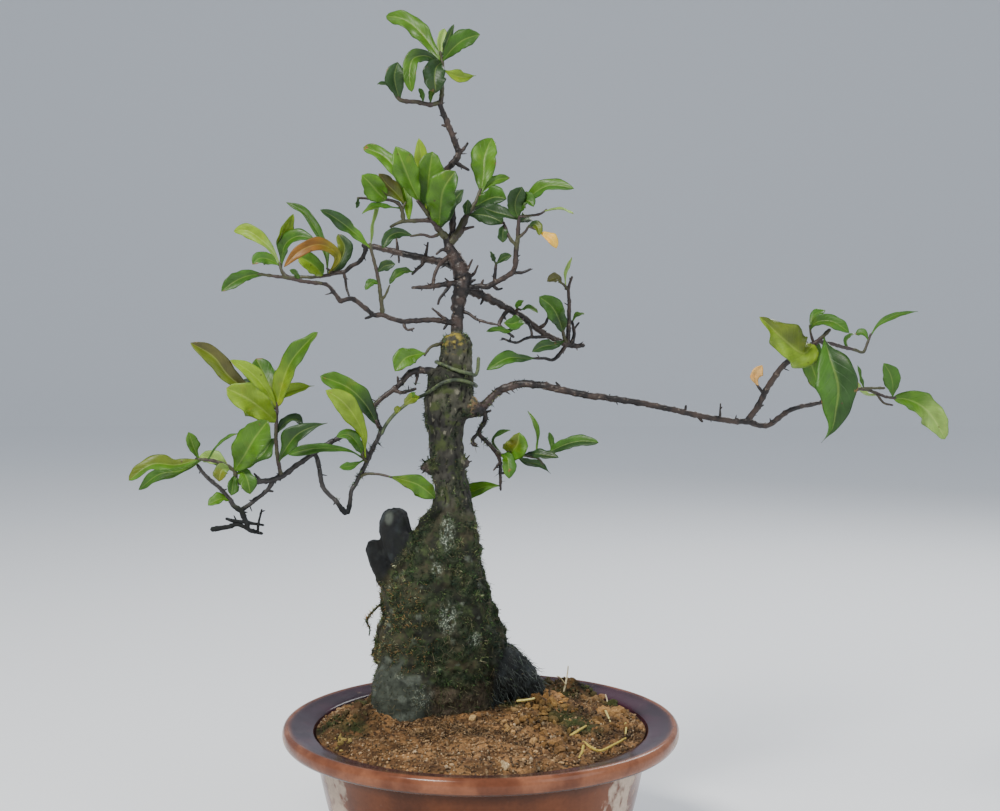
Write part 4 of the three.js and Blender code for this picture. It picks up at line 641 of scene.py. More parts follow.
                [33, 334, 25]]],
            ["mid", "usual", 5, 60, 50, [[15, 302.8, 14], [9, 313, 19], [14, 318, 23], [21, 320.5, 27]]],
        ],
    },
    "spray_low_left_inner": {
        "shoots": [
            [[-71.3, 321.5, -21.8, 1.2], [-73, 324, -25], [-74, 327, -27, 0.9]],
        ],
        "leaves": [
            ["dark>bright", "blunt", 15, 20, 15, [[-73, 324, -25], [-81, 338, -33], [-93, 350, -39],
                [-113, 358.5, -44]]],
        ],
    },
    "spray_low_left_hanging": {
        "shoots": [
            [[-80.5, 298, -25.4, 1.4], [-83, 301, -29], [-84, 305, -32, 1]],
        ],
        "leaves": [
            ["lime", "spoon", 15, 10, 10, [[-81.5, 301, -28.5], [-83, 317, -38], [-89, 330, -46],
                [-98, 341, -52], [-109, 348.5, -57]]],
            ["mid", "usual", 11, 35, 30, [[-83.5, 303, -30.5], [-88, 312, -40], [-94, 317, -44],
                [-102, 316, -47]]],
            ["mid", "spoon", 8, 10, 20, [[-82.5, 300, -28], [-92, 305.5, -34], [-104, 307.5, -38],
                [-120, 307, -38], [-136, 303, -35]]],
            ["mid", "spoon", 6, 10, 10, [[-82, 299.5, -27.5], [-90, 295.5, -31], [-94, 294.5, -33],
                [-100, 294, -35]]],
        ],
    },
    "spray_low_left_upright": {
        "shoots": [
            [[-141, 287.5, -37.2, 1.5], [-142.5, 295, -38, 1.4], [-144, 305, -38], [-144.5, 318, -37],
                [-144, 328, -36], [-143.5, 340, -35, 1.1]],
        ],
        "leaves": [
            ["lime>bright", "strap", 15, 20, 30, [[-143.5, 337, -35.2], [-140, 352, -37],
                [-133, 369, -41], [-115, 389.5, -47]]],
            ["lime", "drip", 10, 20, 40, [[-143.5, 338, -35], [-136, 347, -31], [-127, 349.5, -28],
                [-117, 352, -24]]],
            ["lime", "usual", 11, 15, 20, [[-143.7, 336, -35], [-152, 350, -41], [-162, 361, -46],
                [-176, 370, -52]]],
            ["olive>mid", "blunt", 17, 10, 10, [[-143.5, 338, -35], [-149, 353, -31], [-153, 361, -28],
                [-158, 371, -26]]],
            ["brown>dark", "usual", 13, 15, 15, [[-143.8, 334, -35.5], [-150, 344, -27],
                [-158, 350, -21], [-168, 356, -16]]],
            ["lime", "blunt", 21, 5, 5, [[-144, 326, -36], [-154, 335, -44], [-164, 342.5, -51],
                [-179, 350, -57]]],
            ["mid>dark", "drip", 14, 15, 20, [[-143, 297, -38], [-137, 308, -45], [-129, 317.5, -50],
                [-119, 322.5, -52], [-108, 325.5, -54]]],
            ["dark", "usual", 9, 40, 35, [[-144.5, 317, -37], [-138, 325, -31], [-131, 328, -26],
                [-125, 325, -22]]],
            ["olive|brown", "spoon", 14, 10, 15, [[-143.6, 336, -35.2], [-162, 347, -44],
                [-178, 359, -49], [-188, 372, -52], [-204, 382, -55]]],
        ],
    },
    "spray_low_left_outer": {
        "shoots": [
            [[-169, 283, -40.7, 1.5], [-173, 286, -42], [-174, 291, -43], [-181, 296, -44],
                [-191, 299, -45], [-201, 300, -46, 1]],
        ],
        "leaves": [
            ["bright", "blunt", 22, 10, 10, [[-174, 291.5, -43.2], [-166.5, 303, -50], [-160, 314, -55],
                [-150, 327, -59]]],
            ["mid", "usual", 14, 35, 35, [[-174, 291, -43], [-163, 297, -39], [-154, 303, -35],
                [-146, 315, -31]]],
            ["mid", "usual", 4, 60, 60, [[-193, 299, -45.2], [-186, 309, -48], [-179, 315, -51],
                [-171, 318, -54]]],
            ["bright", "usual", 9, 30, 20, [[-199, 300, -45.8], [-202, 306, -48], [-204, 312, -50],
                [-206, 319, -51]]],
            ["bright|olive", "blunt", 12, 35, 30, [[-199, 299.5, -46], [-215, 295.5, -50],
                [-232, 296, -54], [-249, 285, -58]]],
            ["bright>mid", "usual", 10, 30, 25, [[-197, 299.5, -45.6], [-210, 292, -41],
                [-227, 289, -37], [-242, 278, -33]]],
            ["pale", "usual", 11, 20, 20, [[-176, 292, -43.3], [-183, 296.5, -39], [-190, 300.5, -36],
                [-199, 301.5, -33]]],
            ["mid", "usual", 9, 20, 15, [[-174, 289, -42.7], [-175, 284, -46], [-176.5, 274, -49]]],
            ["mid|bright", "usual", 12, 10, 10, [[-173, 289, -42.2], [-168.5, 291, -44],
                [-165, 285, -46], [-163, 275, -47]]],
            ["pale>olive", "usual", 11, 10, 10, [[-177, 293, -43.4], [-183, 292, -48], [-185, 284, -51]]],
        ],
    },
    "leaf_low_outer": {
        "shoots": [],
        "leaves": [
            ["bright", "usual", 9, 35, 35, [[-176.8, 270.5, -42.8], [-184, 271.5, -46], [-193, 267, -50]]],
        ],
    },
    # Three scraps that are caught on the tie's lead.
    "tie_scraps": {
        "shoots": [],
        "leaves": [
            ["lime>olive", "usual", 8, 25, 25, [[-43.5, 344, -23], [-47, 343.5, -28], [-50, 341.5, -31],
                [-54, 338, -33]]],
            ["olive", "usual", 5, 35, 35, [[-56, 336.5, -28.5], [-58, 335.5, -30.5], [-60, 332, -31.5]]],
            ["mid", "usual", 4, 30, 30, [[-50, 340.5, -26.5], [-49, 344, -28], [-46, 347, -29]]],
        ],
    },
}

# The green tie: led up from the left twig, wound round the stump and left standing at the right.
TIE_LEAD_IN = [[-69.8, 318, -26.5], [-67.6, 323, -27], [-62, 330.5, -28], [-56, 336, -28], [-49, 341, -26]]

# Its turns as bearing and height, where bearing 0 is right, 90 front and 180 left.
TIE_TURNS = [
    [150, 346.5], [128, 350], [105, 354.5], [80, 356.5], [55, 355.5], [30, 353], [5, 351.5], [-20, 352],
    [-45, 354.5], [-70, 358.5], [-95, 363], [-120, 366], [-145, 367.8], [-170, 368.4], [-195, 368.3],
    [-220, 367.5], [-245, 366], [-270, 364], [-295, 362], [-320, 360.5], [-345, 359.5],
]

TIE_TAIL = [[-2.4, 362, -3], [-1.6, 371, -3]]

# The wall of the hollow that the soil fills, from the top down: radius and height.
SOIL_WALL = ((110.2, 97.2), (105.5, 78), (91.2, 27.3), (79, POT_FLOOR + 0.4))

# Mounds and dips of the soil: place, height and reach.
SOIL_MOUNDS = [
    [68, 80, 12, 17],
    [-74, -14, 11, 18],
    [-20, 0, 12, 52],
    [42, 20, 12, 24],
    [-86, -40, -4, 9],
    [90, -20, 2.5, 18],
]

# Where moss greens the soil: across and up on the picture plane, and reach.
SOIL_GREENS = [
    (62, 113, 11), (56, 132, 9), (74, 106, 8), (98, 131, 9), (108, 122, 7), (-108, 110, 10), (-90, 113, 8),
    (-84, 124, 7), (20, 126, 8), (-40, 140, 30), (30, 142, 26),
]

# Clumps of lumps and single stones: across and up on the picture plane, reach, count, size and colour.
CLUMPS = [
    (69, 146, 7, 24, 3.5, (176, 146, 104)),
    (60, 142, 9, 26, 2.6, (150, 116, 78)),
    (40, 128, 8, 20, 2.6, (160, 116, 64)),
    (52, 118, 9, 26, 2.8, (164, 120, 66)),
    (38, 112, 9, 26, 2.6, (168, 126, 72)),
    (48, 100, 11, 30, 2.5, (156, 116, 68)),
    (64, 92, 10, 24, 2.3, (146, 110, 70)),
    (96, 118, 8, 26, 2.8, (158, 120, 74)),
    (84, 127, 8, 24, 2.6, (140, 106, 70)),
    (106, 109, 5, 14, 2.4, (150, 114, 74)),
    (88, 110, 9, 22, 2.4, (150, 110, 66)),
    (28, 106, 12, 22, 2.0, (166, 130, 84)),
    (-86, 123, 4.5, 10, 3.8, (150, 94, 66)),
    (-93, 117, 7, 16, 2.5, (128, 94, 66)),
    (-75, 128, 6, 10, 2.6, (132, 92, 66)),
    (-104, 124, 6, 12, 2.2, (120, 92, 66)),
    (-99, 97, 5, 12, 2.0, (188, 162, 92)),
    (-5, 112, 1.4, 2, 3.2, (186, 154, 104)),
    (17, 106, 3, 4, 2.6, (180, 142, 88)),
    (15, 80, 2.2, 5, 4.2, (220, 192, 146)),
    (-113, 118, 1, 2, 2.4, (176, 142, 100)),
    (0, 96, 36, 36, 1.3, (164, 132, 92)),
    (-50, 100, 26, 26, 1.3, (150, 120, 84)),
    (0, 132, 40, 44, 1.8, (140, 110, 76)),
]

# Stalks and roots: colour, radius, then across and up on the picture plane, and above the soil.
STALKS = [
    ((214, 200, 160), 0.8, [(59, 134, 0), (60.5, 141, 8), (61.5, 147, 14), (62, 152, 20)]),
    ((206, 188, 142), 0.6, [(60, 139, 6), (57, 143, 11), (54, 145, 14)]),
    ((200, 186, 152), 0.7, [(98, 125, 0.5), (100, 129, 4), (103, 134, 8)]),
    ((210, 202, 164), 1.0, [(-8, 130.5, 1), (-4, 132, 1.6), (1, 133, 1)]),
    ((204, 190, 110), 1.0, [(26, 127, 1), (34, 128, 2), (42, 130, 1.4)]),
    ((180, 158, 74), 1.2, [(73, 97, 1), (79, 93, 2), (85, 91, 2.4), (94, 95, 2.6), (103, 100, 1)]),
    ((176, 156, 72), 1.1, [(73, 95, 1.4), (72, 90, 2), (70, 86, 1)]),
    ((184, 164, 84), 1.1, [(64, 102, 1), (70, 106, 3), (75, 109, 1.6)]),
    ((190, 174, 110), 1.0, [(88, 121, 1), (90, 117, 2.4), (92, 112, 1)]),
    ((184, 168, 96), 1.0, [(102, 113, 1), (103.5, 108, 2.4), (103, 103, 1)]),
    ((120, 94, 62), 0.7, [(-60, 104, 0.8), (-48, 100, 1.4), (-36, 101, 1)]),
    ((96, 76, 52), 0.6, [(-30, 90, 0.8), (-20, 88, 1.2), (-8, 89, 0.8)]),
    ((128, 102, 66), 0.7, [(30, 132, 1), (10, 135, 2), (-14, 136, 1.4)]),
]

# Colours as they are seen, of the moss, its fibres and the fibres on the soil.
MOSS_COLOURS = [
    (18, 28, 20), (26, 40, 24), (38, 56, 30), (54, 68, 40), (78, 84, 54), (64, 58, 42), (104, 104, 80),
]
RUSTY_MOSS = (92, 70, 42)
HAIR_COLOURS = [(96, 92, 70), (74, 72, 50), (124, 118, 92), (60, 72, 42), (90, 82, 54), (46, 42, 34)]
FIBRE_COLOURS = [(60, 46, 34), (84, 64, 44), (112, 88, 60), (46, 38, 30), (140, 114, 80)]

# The colours of the leaves and the crumbs, as the shader takes them.
LEAF_COLOURS = {
    # bright, mid and dark are lit, half-lit and shaded copies of one green: painted light and shade.
    "bright": (0.054, 0.140, 0.003),
    "mid": (0.032, 0.098, 0.004),
    "dark": (0.014, 0.045, 0.006),
    "olive": (0.085, 0.120, 0.004),
    "lime": (0.16, 0.26, 0.008),
    "pale": (0.17, 0.28, 0.05),
    "yellowed": (0.20, 0.20, 0.006),
    "straw": (0.60, 0.36, 0.04),
    "brown": (0.062, 0.060, 0.012),
    "rust": (0.22, 0.095, 0.010),
    "orange": (0.60, 0.34, 0.10),
}
CRUMB_COLOURS = np.array([
    (0.24, 0.148, 0.074), (0.17, 0.105, 0.054), (0.30, 0.195, 0.10), (0.11, 0.070, 0.040),
    (0.33, 0.21, 0.10), (0.23, 0.135, 0.062), (0.40, 0.29, 0.175), (0.085, 0.058, 0.034),
    (0.20, 0.125, 0.064), (0.27, 0.17, 0.085),
])


def seen(points):
    """The real places of points laid out as across, up and behind."""
    given = np.array([point[:3] for point in points], float)
    on_plane = np.stack([given[:, 0], np.zeros(len(given)), given[:, 1]], axis=1)
    share = 1 - given[:, 2:3] / VIEWPOINT[1]
    return VIEWPOINT + (on_plane - VIEWPOINT) * share


def curve(points, at):
    """Points of the smooth curve through the given points, where at counts along them."""
    ends = np.vstack([2 * points[0] - points[1], points, 2 * points[-1] - points[-2]])
    index = np.clip(np.floor(at).astype(int), 0, len(points) - 2)
    share = (at - index)[:, None]
    p0, p1, p2, p3 = (ends[index + step] for step in range(4))
    gaps = [np.linalg.norm(b - a, axis=1) for a, b in ((p0, p1), (p1, p2), (p2, p3))]
    d0, d1, d2 = (np.sqrt(gap)[:, None] for gap in gaps)
    leave = ((p1 - p0) / d0 - (p2 - p0) / (d0 + d1) + (p2 - p1) / d1) * d1
    arrive = ((p2 - p1) / d1 - (p3 - p1) / (d1 + d2) + (p3 - p2) / d2) * d1
    bend = -3 * p1 + 3 * p2 - 2 * leave - arrive
    twist = 2 * p1 - 2 * p2 + leave + arrive
    return p1 + share * (leave + share * (bend + share * twist))


def lengths_along(line):
    """How far along a line each of its points lies."""
    return np.concatenate([[0], np.cumsum(np.linalg.norm(np.diff(line, axis=0), axis=1))])


def unit(vectors):
    return vectors / np.linalg.norm(vectors, axis=-1, keepdims=True)


def radii_along(points):
    """The radius at each point, where one without a radius runs evenly between its neighbours."""
    given = [(index, point[3]) for index, point in enumerate(points) if len(point) > 3]
    places, radii = zip(*given)
    return np.interp(range(len(points)), places, radii)


def smoothstep(low, high, value):
    share = np.clip((value - low) / (high - low), 0, 1)
    return share * share * (3 - 2 * share)


def bell(value, middle, reach):
    """1 at the middle, and less away from it."""
    return np.exp(-((value - middle) / reach) ** 2)


def blob(points, place, reach, inner, outer=1.1):
    """1 inside an ellipsoid round a place and 0 outside it, easing between two shares of its reach."""
    away = np.linalg.norm((points - np.array(place)) / np.array(reach), axis=1)
    return 1 - smoothstep(inner, outer, away)


def noise_at(points, reach, octaves=1, seed=0.0):
    """Smooth noise about 0 at each point, with lumps of about the given reach."""
    shift = Vector((seed * 7.3, seed * 3.1, seed * 5.7))
    total = np.zeros(len(points))
    size, weight = 1.0, 1.0
    for _ in range(octaves):
        total += weight * np.array([noise.noise(Vector(p * (size / reach)) + shift) for p in points])
        size *= 2.1
        weight *= 0.5
    return total


def round_angles(sides):
    return np.arange(sides) / sides * 2 * math.pi


def ring_faces(rings, sides):
    """Quads between rings of points that close on themselves."""
    ring, side = np.meshgrid(np.arange(rings - 1), np.arange(sides), indexing="ij")
    a = ring * sides + side
    b = ring * sides + (side + 1) % sides
    return np.stack([a, b, b + sides, a + sides], axis=-1).reshape(-1, 4).tolist()


def sheet_quads(rows, columns):
    """Quads between the points of a sheet, given row by row."""
    row, column = np.meshgrid(np.arange(rows - 1), np.arange(columns - 1), indexing="ij")
    a = (row * columns + column).ravel()
    return np.stack([a, a + 1, a + 1 + columns, a + columns], axis=1)


def slab_faces(rows, columns):
    """The faces of a closed slab whose lower sheet of points comes before its upper one."""
    count = rows * columns
    low = sheet_quads(rows, columns)
    edge = np.arange(rows - 1) * columns
    left = np.stack([edge, edge + columns, edge + columns + count, edge + count], axis=1)
    last = edge + columns - 1
    right = np.stack([last, last + count, last + columns + count, last + columns], axis=1)
    row = np.arange(columns - 1)
    near = np.stack([row, row + count, row + count + 1, row + 1], axis=1)
    far = near[:, ::-1] + (rows - 1) * columns
    return np.concatenate([low, low[:, ::-1] + count, left, right, near, far]).tolist()


def close_rings(rings, tips=None):
    """A closed body through rings of points, with a fan of triangles to a tip at each end."""
    count, sides = rings.shape[:2]
    if tips is None:
        tips = [rings[0].mean(axis=0), rings[-1].mean(axis=0)]
    side = np.arange(sides)
    after = (side + 1) % sides
    last = (count - 1) * sides
    start = np.stack([after, side, np.full(sides, count * sides)], axis=1)
    end = np.stack([last + side, last + after, np.full(sides, count * sides + 1)], axis=1)
    faces = ring_faces(count, sides) + start.tolist() + end.tolist()
    return np.vstack([rings.reshape(-1, 3), tips]), faces


def tube(centres, radii, sides, lumps=0.0, seed=0.0, doming=1.0):
    """A closed tube round a line of centres, with domed ends and a lumpy skin."""
    tangents = unit(np.gradient(centres, axis=0))
    rows = list(zip(centres, radii, tangents))
    for out, size in ((0.45 * doming, 0.8), (0.75 * doming, 0.35)):
        rows.insert(0, (centres[0] - tangents[0] * radii[0] * out, radii[0] * size, tangents[0]))
        rows.append((centres[-1] + tangents[-1] * radii[-1] * out, radii[-1] * size, tangents[-1]))
    normal = np.array([0.0, 1.0, 0.0])
    angles = round_angles(sides)
    rings = []
    for middle, radius, tangent in rows:
        normal = normal - tangent * normal.dot(tangent)
        normal /= np.linalg.norm(normal)
        other = np.cross(tangent, normal)
        ring = np.cos(angles)[:, None] * normal + np.sin(angles)[:, None] * other
        skin = np.full(sides, radius)
        if lumps:
            reach = max(radius, 1.0) * 1.1
            shift = Vector((seed, 0, 0))
            bumps = [noise.noise(Vector((middle + way * radius) / reach) + shift) for way in ring]
            skin = np.array([radius * (1 + lumps * bump) for bump in bumps])
        rings.append(middle + ring * skin[:, None])
    start = rows[0][0] - tangents[0] * radii[0] * 0.2 * doming
    end = rows[-1][0] + tangents[-1] * radii[-1] * 0.2 * doming
    return close_rings(np.array(rings), [start, end])


def gather(forms):
    """The points and faces of many forms as those of one."""
    points, faces = [], []
    total = 0
    for more, shapes in forms:
        points.append(more)
        faces += [[corner + total for corner in face] for face in shapes]
        total += len(more)
    return np.concatenate(points), faces


def make_object(name, points, faces):
    """An object in metres from points in millimetres."""
    mesh = bpy.data.meshes.new(name)
    mesh.from_pydata((np.asarray(points) * MM).tolist(), [], faces)
    mesh.update()
    made = bpy.data.objects.new(name, mesh)
    bpy.context.scene.collection.objects.link(made)
    return made


def evaluated(source, name):
    """A new object that holds the source's mesh with its modifiers applied. The source is removed."""
    bpy.context.view_layer.update()
    mesh = bpy.data.meshes.new_from_object(source.evaluated_get(bpy.context.evaluated_depsgraph_get()))
    mesh.materials.clear()
    made = bpy.data.objects.new(name, mesh)
    made.data.name = name
    bpy.context.scene.collection.objects.link(made)
    bpy.data.objects.remove(source)
    return made


def join_solids(body, forms, name, way="UNION"):
    """One closed skin round a body and many forms, or round the body without them."""
    parts = bpy.data.collections.new("parts")
    bpy.context.scene.collection.children.link(parts)
    for index, (points, faces) in enumerate(forms):
        part = make_object(f"form_{index}", points, faces)
        bpy.context.scene.collection.objects.unlink(part)
        parts.objects.link(part)
    joining = body.modifiers.new("joining", "BOOLEAN")
    joining.operation = way
    joining.operand_type = "COLLECTION"
    joining.collection = parts
    joining.solver = "MANIFOLD"
    made = evaluated(body, name)
    for part in list(parts.objects):
        bpy.data.objects.remove(part)
    bpy.data.collections.remove(parts)
    return made


def fetched(items, name, width, kind=float):
    """What each item of a mesh holds under a name, as rows of numbers."""
    flat = np.empty(len(items) * width, kind)
    items.foreach_get(name, flat)
    return flat.reshape(-1, width)


def place_of(mesh_object):
    """The points of an object in millimetres."""
    return fetched(mesh_object.data.vertices, "co", 3) / MM


def normals_of(mesh_object):
    return fetched(mesh_object.data.vertex_normals, "vector", 3)


def move_points(mesh_object, points):
    mesh_object.data.vertices.foreach_set("co", (points * MM).ravel())
    mesh_object.data.update()


def put_values(mesh_object, **values):
    """Keeps numbers or colours for the points of a mesh, for its material to read."""
    for name, given in values.items():
        given = np.asarray(given, np.float32)
        kind, field = ("FLOAT", "value") if given.ndim == 1 else ("FLOAT_VECTOR", "vector")
        layer = mesh_object.data.attributes.new(name, kind, "POINT")
        layer.data.foreach_set(field, given.ravel())


def finish_piece(piece, slot, *materials, nodes=(), smooth=True):
    """Gives a piece its materials, the nodes that it stands for and the body that it rides on. The slot is
    not used.
    """
    for material in materials:
        piece.data.materials.append(material)
    piece.data.polygons.foreach_set("use_smooth", np.full(len(piece.data.polygons), smooth))
    if nodes:
        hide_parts(*nodes)
    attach(piece, "root")


# The wood.


def stump_section(height):
    """The stump's middle and half widths at each height."""
    rows = np.array(STUMP)[::-1]
    left, right, front, back = (np.interp(height, rows[:, 0], rows[:, column]) for column in range(1, 5))
    return (left + right) / 2, (back - front) / 2, (right - left) / 2, (front + back) / 2


def stump_point(bearing, height, margin):
    """A point on the stump at a bearing and height, with the flutes that deepen towards the roots."""
    x, y, across, deep = stump_section(height)
    depth = np.interp(height, [110, 290], [0.05, 0.012])
    flutes = np.cos(5 * bearing + height / 23) + 0.6 * np.cos(9 * bearing - height / 15 + 1)
    swell = 1 + depth * flutes
    return np.stack([
        x + (across * swell + margin) * np.cos(bearing),
        y - (deep * swell + margin) * np.sin(bearing),
        height + 0 * bearing,
    ], axis=-1)


def stump_form():
    """The stump and its roots and stubs, welded into one even skin."""
    heights = np.arange(STUMP[0][0], STUMP[-1][0], -2.0)
    bearings = round_angles(72)
    forms = [close_rings(np.array([stump_point(bearings, height, 0) for height in heights]))]
    for index, limb in enumerate(ROOTS_AND_STUBS):
        sides, growth, doming = (8, 1.06, 0.25) if index in SAWN_STUBS else (20, 1, 1)
        at = np.linspace(0, len(limb) - 1, 10 * len(limb))
        radii = np.interp(at, range(len(limb)), radii_along(limb)) * growth
        forms.append(tube(curve(seen(limb), at), radii, sides, 0.10, index, doming))
    rough = make_object("rough_stump", *gather(forms))
    remesh = rough.modifiers.new("even", "REMESH")
    remesh.mode = "VOXEL"
    remesh.voxel_size = BARK_CELL * MM
    soften = rough.modifiers.new("soften", "SMOOTH")
    soften.iterations = 6
    soften.factor = 0.5
    return evaluated(rough, "stump")


def stub_share(points):
    """1 on the sawn-off stubs at the left and 0 elsewhere."""
    x, z = points[:, 0], points[:, 2]
    middle, _, across, _ = stump_section(z)
    outside = middle - across - x
    return smoothstep(-1, 5, outside) * smoothstep(205, 222, z) * smoothstep(275, 270, z)


def right_root_share(points):
    """1 on the big surface root at the right and 0 elsewhere."""
    x, z = points[:, 0], points[:, 2]
    edge = np.interp(z, [120, 150, 176], [5, 9, 18])
    return smoothstep(edge - 4, edge + 5, x) * smoothstep(176, 160, z)


def bulge_share(points):
    """1 on the bare grey bulge low at the front left, which carries no moss."""
    x, y, z = points.T
    away = ((x + 56) / 33) ** 2 + ((z - 122 + 0.35 * (x + 56)) / 37) ** 2
    away += 0.8 * noise_at(points, 10, 2, seed=17)
    return smoothstep(1.2, 0.75, away) * smoothstep(6, -8, y)


def mat_share(points):
    """1 on the foot of the stump at the front, where brown rootlets lie thicker than moss."""
    x, y, z = points.T
    edge = 140 + 5 * np.sin(x / 9) + 10 * noise_at(points, 8, 1, seed=23)
    low_front = smoothstep(edge + 6, edge - 6, z) * smoothstep(-40, -30, x)
    return low_front * smoothstep(34, 24, x) * smoothstep(0, -12, y)


def lichen_share(points):
    """1 where pale lichen speckles the front of the stump and 0 elsewhere."""
    cover = np.maximum.reduce([blob(points, place, reach, 0.4) for place, reach in LICHEN])
    return cover * (points[:, 1] < 0)


def moss_share(points):
    """How thickly moss covers the bark at each point, from 0 to 1."""
    x, z = points[:, 0], points[:, 2]
    patches = noise_at(points, 11, 3, seed=3)
    low = smoothstep(BARK_EDGE + 12, BARK_EDGE - 14, z + 12 * noise_at(points, 20, 1, seed=5))
    low *= np.clip(0.42 + 0.2 * smoothstep(250, 225, z) + 1.25 * patches, 0, 1)
    left_edge = smoothstep(-22, -34, x) * smoothstep(312, 292, z) * smoothstep(262, 280, z) * 0.8
    left_edge *= np.clip(0.5 + patches, 0, 1)
    top = smoothstep(366, 380, z) * smoothstep(-24, -20, -np.abs(x + 18)) * 0.5
    top *= np.clip(0.3 + 2 * patches, 0, 1)
    trunk = smoothstep(255, 265, z) * smoothstep(368, 350, z) * np.clip(2.4 * patches - 0.1, 0, 0.45)
    cover = np.maximum.reduce([low, left_edge, top, trunk])
    bare = [stub_share(points), 0.85 * right_root_share(points), 0.96 * bulge_share(points)]
    cover *= 1 - np.maximum.reduce(bare)
    return cover * (1 - 0.5 * lichen_share(points)) * (1 - 0.75 * mat_share(points))


def carve_stump(stump):
    """Gives the even skin its fissured bark, mossy lumps, knots and scars."""
    points = place_of(stump)
    trunk = smoothstep(BARK_EDGE - 12, BARK_EDGE + 13, points[:, 2])
    lengthways = points * np.array([1, 1, 0.28])
    cracks = 1 - np.abs(noise_at(lengthways, 5.5, 2, seed=1)) * 3
    cracks = np.clip(cracks, 0, 1) ** 3
    plates = noise_at(points * np.array([1, 1, 0.6]), 3.2, 2, seed=2)
    lumps = 2.3 * noise_at(points, 10, 3, seed=4)
    grains = noise_at(points, 3.0, 2, seed=6)
    tufts = noise_at(points, 4.8, 2, seed=22)
    stubs = stub_share(points)
    bulge = bulge_share(points)
    push = trunk * (-1.2 * cracks + 0.7 * plates + 0.9 * noise_at(points, 6, 2, seed=18))
    lumpy = lumps * (1 - 0.6 * bulge) + 0.7 * grains * (1 - 0.7 * bulge)
    push += (1 - trunk) * (1 - 0.85 * stubs) * lumpy
    push += stubs * 0.6 * noise_at(lengthways, 3.6, 2, seed=7)
    push += moss_share(points) * (2.2 * np.clip(tufts, -0.3, 0.6) + 0.8 * np.clip(grains + 0.3, 0, 1))
    for place, reach, height in KNOTS:
        push += height * blob(points, place, reach, 0, 1)
    move_points(stump, points + normals_of(stump) * push[:, None])


def fine_limb(points, seed):
    """A twig with its nodes and a lumpy skin, as a closed tube."""
    route = seen(points)
    at = np.linspace(0, len(points) - 1, 240)
    lengths = lengths_along(curve(route, at))
    given = radii_along(points)
    step = np.clip(given.mean() * 0.55, 0.75, 1.4)
    along = np.linspace(0, lengths[-1], max(6, int(lengths[-1] / step)))
    where = np.interp(along, lengths, at)
    centres = curve(route, where)
    radii = np.interp(where, range(len(points)), given)
    draw = random.Random(seed)
    node = draw.uniform(2, 6)
    while node < lengths[-1] - 1:
        radii = radii * (1 + draw.uniform(0.10, 0.26) * bell(along, node, draw.uniform(0.8, 1.5)))
        node += draw.uniform(4.5, 10)
    shift = Vector((seed * 1.7, 0, 0))
    sway = np.array([list(noise.noise_vector(Vector(p / 4.5) + shift)) for p in centres])
    ends = np.minimum(along, lengths[-1] - along)
    centres = centres + sway * (0.22 * radii * smoothstep(0, 4, ends))[:, None]
    thickest = radii.max()
    sides = 14 if thickest > 4 else 10 if thickest > 2 else 8
    return tube(centres, radii, sides, lumps=0.16, seed=seed)


def bud_forms():
    """Small buds and broken spurs that stand out along the twigs, by a seeded rule."""
    draw = random.Random(7)
    forms = []
    for limb in BRANCHES:
        route = seen(limb)
        radii = radii_along(limb)
        length = np.linalg.norm(np.diff(route, axis=0), axis=1).sum()
        for _ in range(int(length / BUD_SPACING)):
            at = np.array([draw.uniform(0.4, len(limb) - 1.05)])
            radius = float(np.interp(at, range(len(limb)), radii)[0])
            if radius > THICKEST_BUDDING:
                continue
            place = curve(route, at)[0]
            tangent = unit(curve(route, at + 0.04)[0] - place)
            side = unit(np.cross(tangent, [draw.gauss(0, 1) for _ in range(3)]))
            out = unit(side + tangent * draw.uniform(0.2, 1.0))
            long = draw.uniform(1.0, 2.4) if draw.random() < 0.8 else draw.uniform(2.8, 4.6)
            thick = draw.uniform(0.42, 0.62)
            start = place + out * radius * 0.3
            reach = np.linspace(0, radius * 0.8 + long, 5)
            bow = side * 0.25
            centres = np.array([start + out * r + bow * (r / reach[-1]) ** 2 for r in reach])
            forms.append(tube(centres, thick * np.array([1.15, 1.0, 1.05, 0.85, 0.35]), 6))
    return forms


def hollows(surface):
    """How deep each point lies in a hollow of the surface, from -1 on a ridge to 1 in a crack."""
    points, normals = place_of(surface), normals_of(surface)
    one, other = fetched(surface.data.edges, "vertices", 2, int).T
    way = points[other] - points[one]
    long = np.maximum(np.linalg.norm(way, axis=1), 1e-6)
    depth, shares = np.zeros(len(points)), np.zeros(len(points))
    np.add.at(depth, one, np.sum(way * normals[one], axis=1) / long)
    np.add.at(depth, other, -np.sum(way * normals[other], axis=1) / long)
    np.add.at(shares, one, 1)
    np.add.at(shares, other, 1)
    depth = depth / shares
    for _ in range(2):
        spread = depth * shares
        np.add.at(spread, one, depth[other])
        np.add.at(spread, other, depth[one])
        depth = spread / (2 * shares)
    return np.clip(depth * 5, -1, 1)


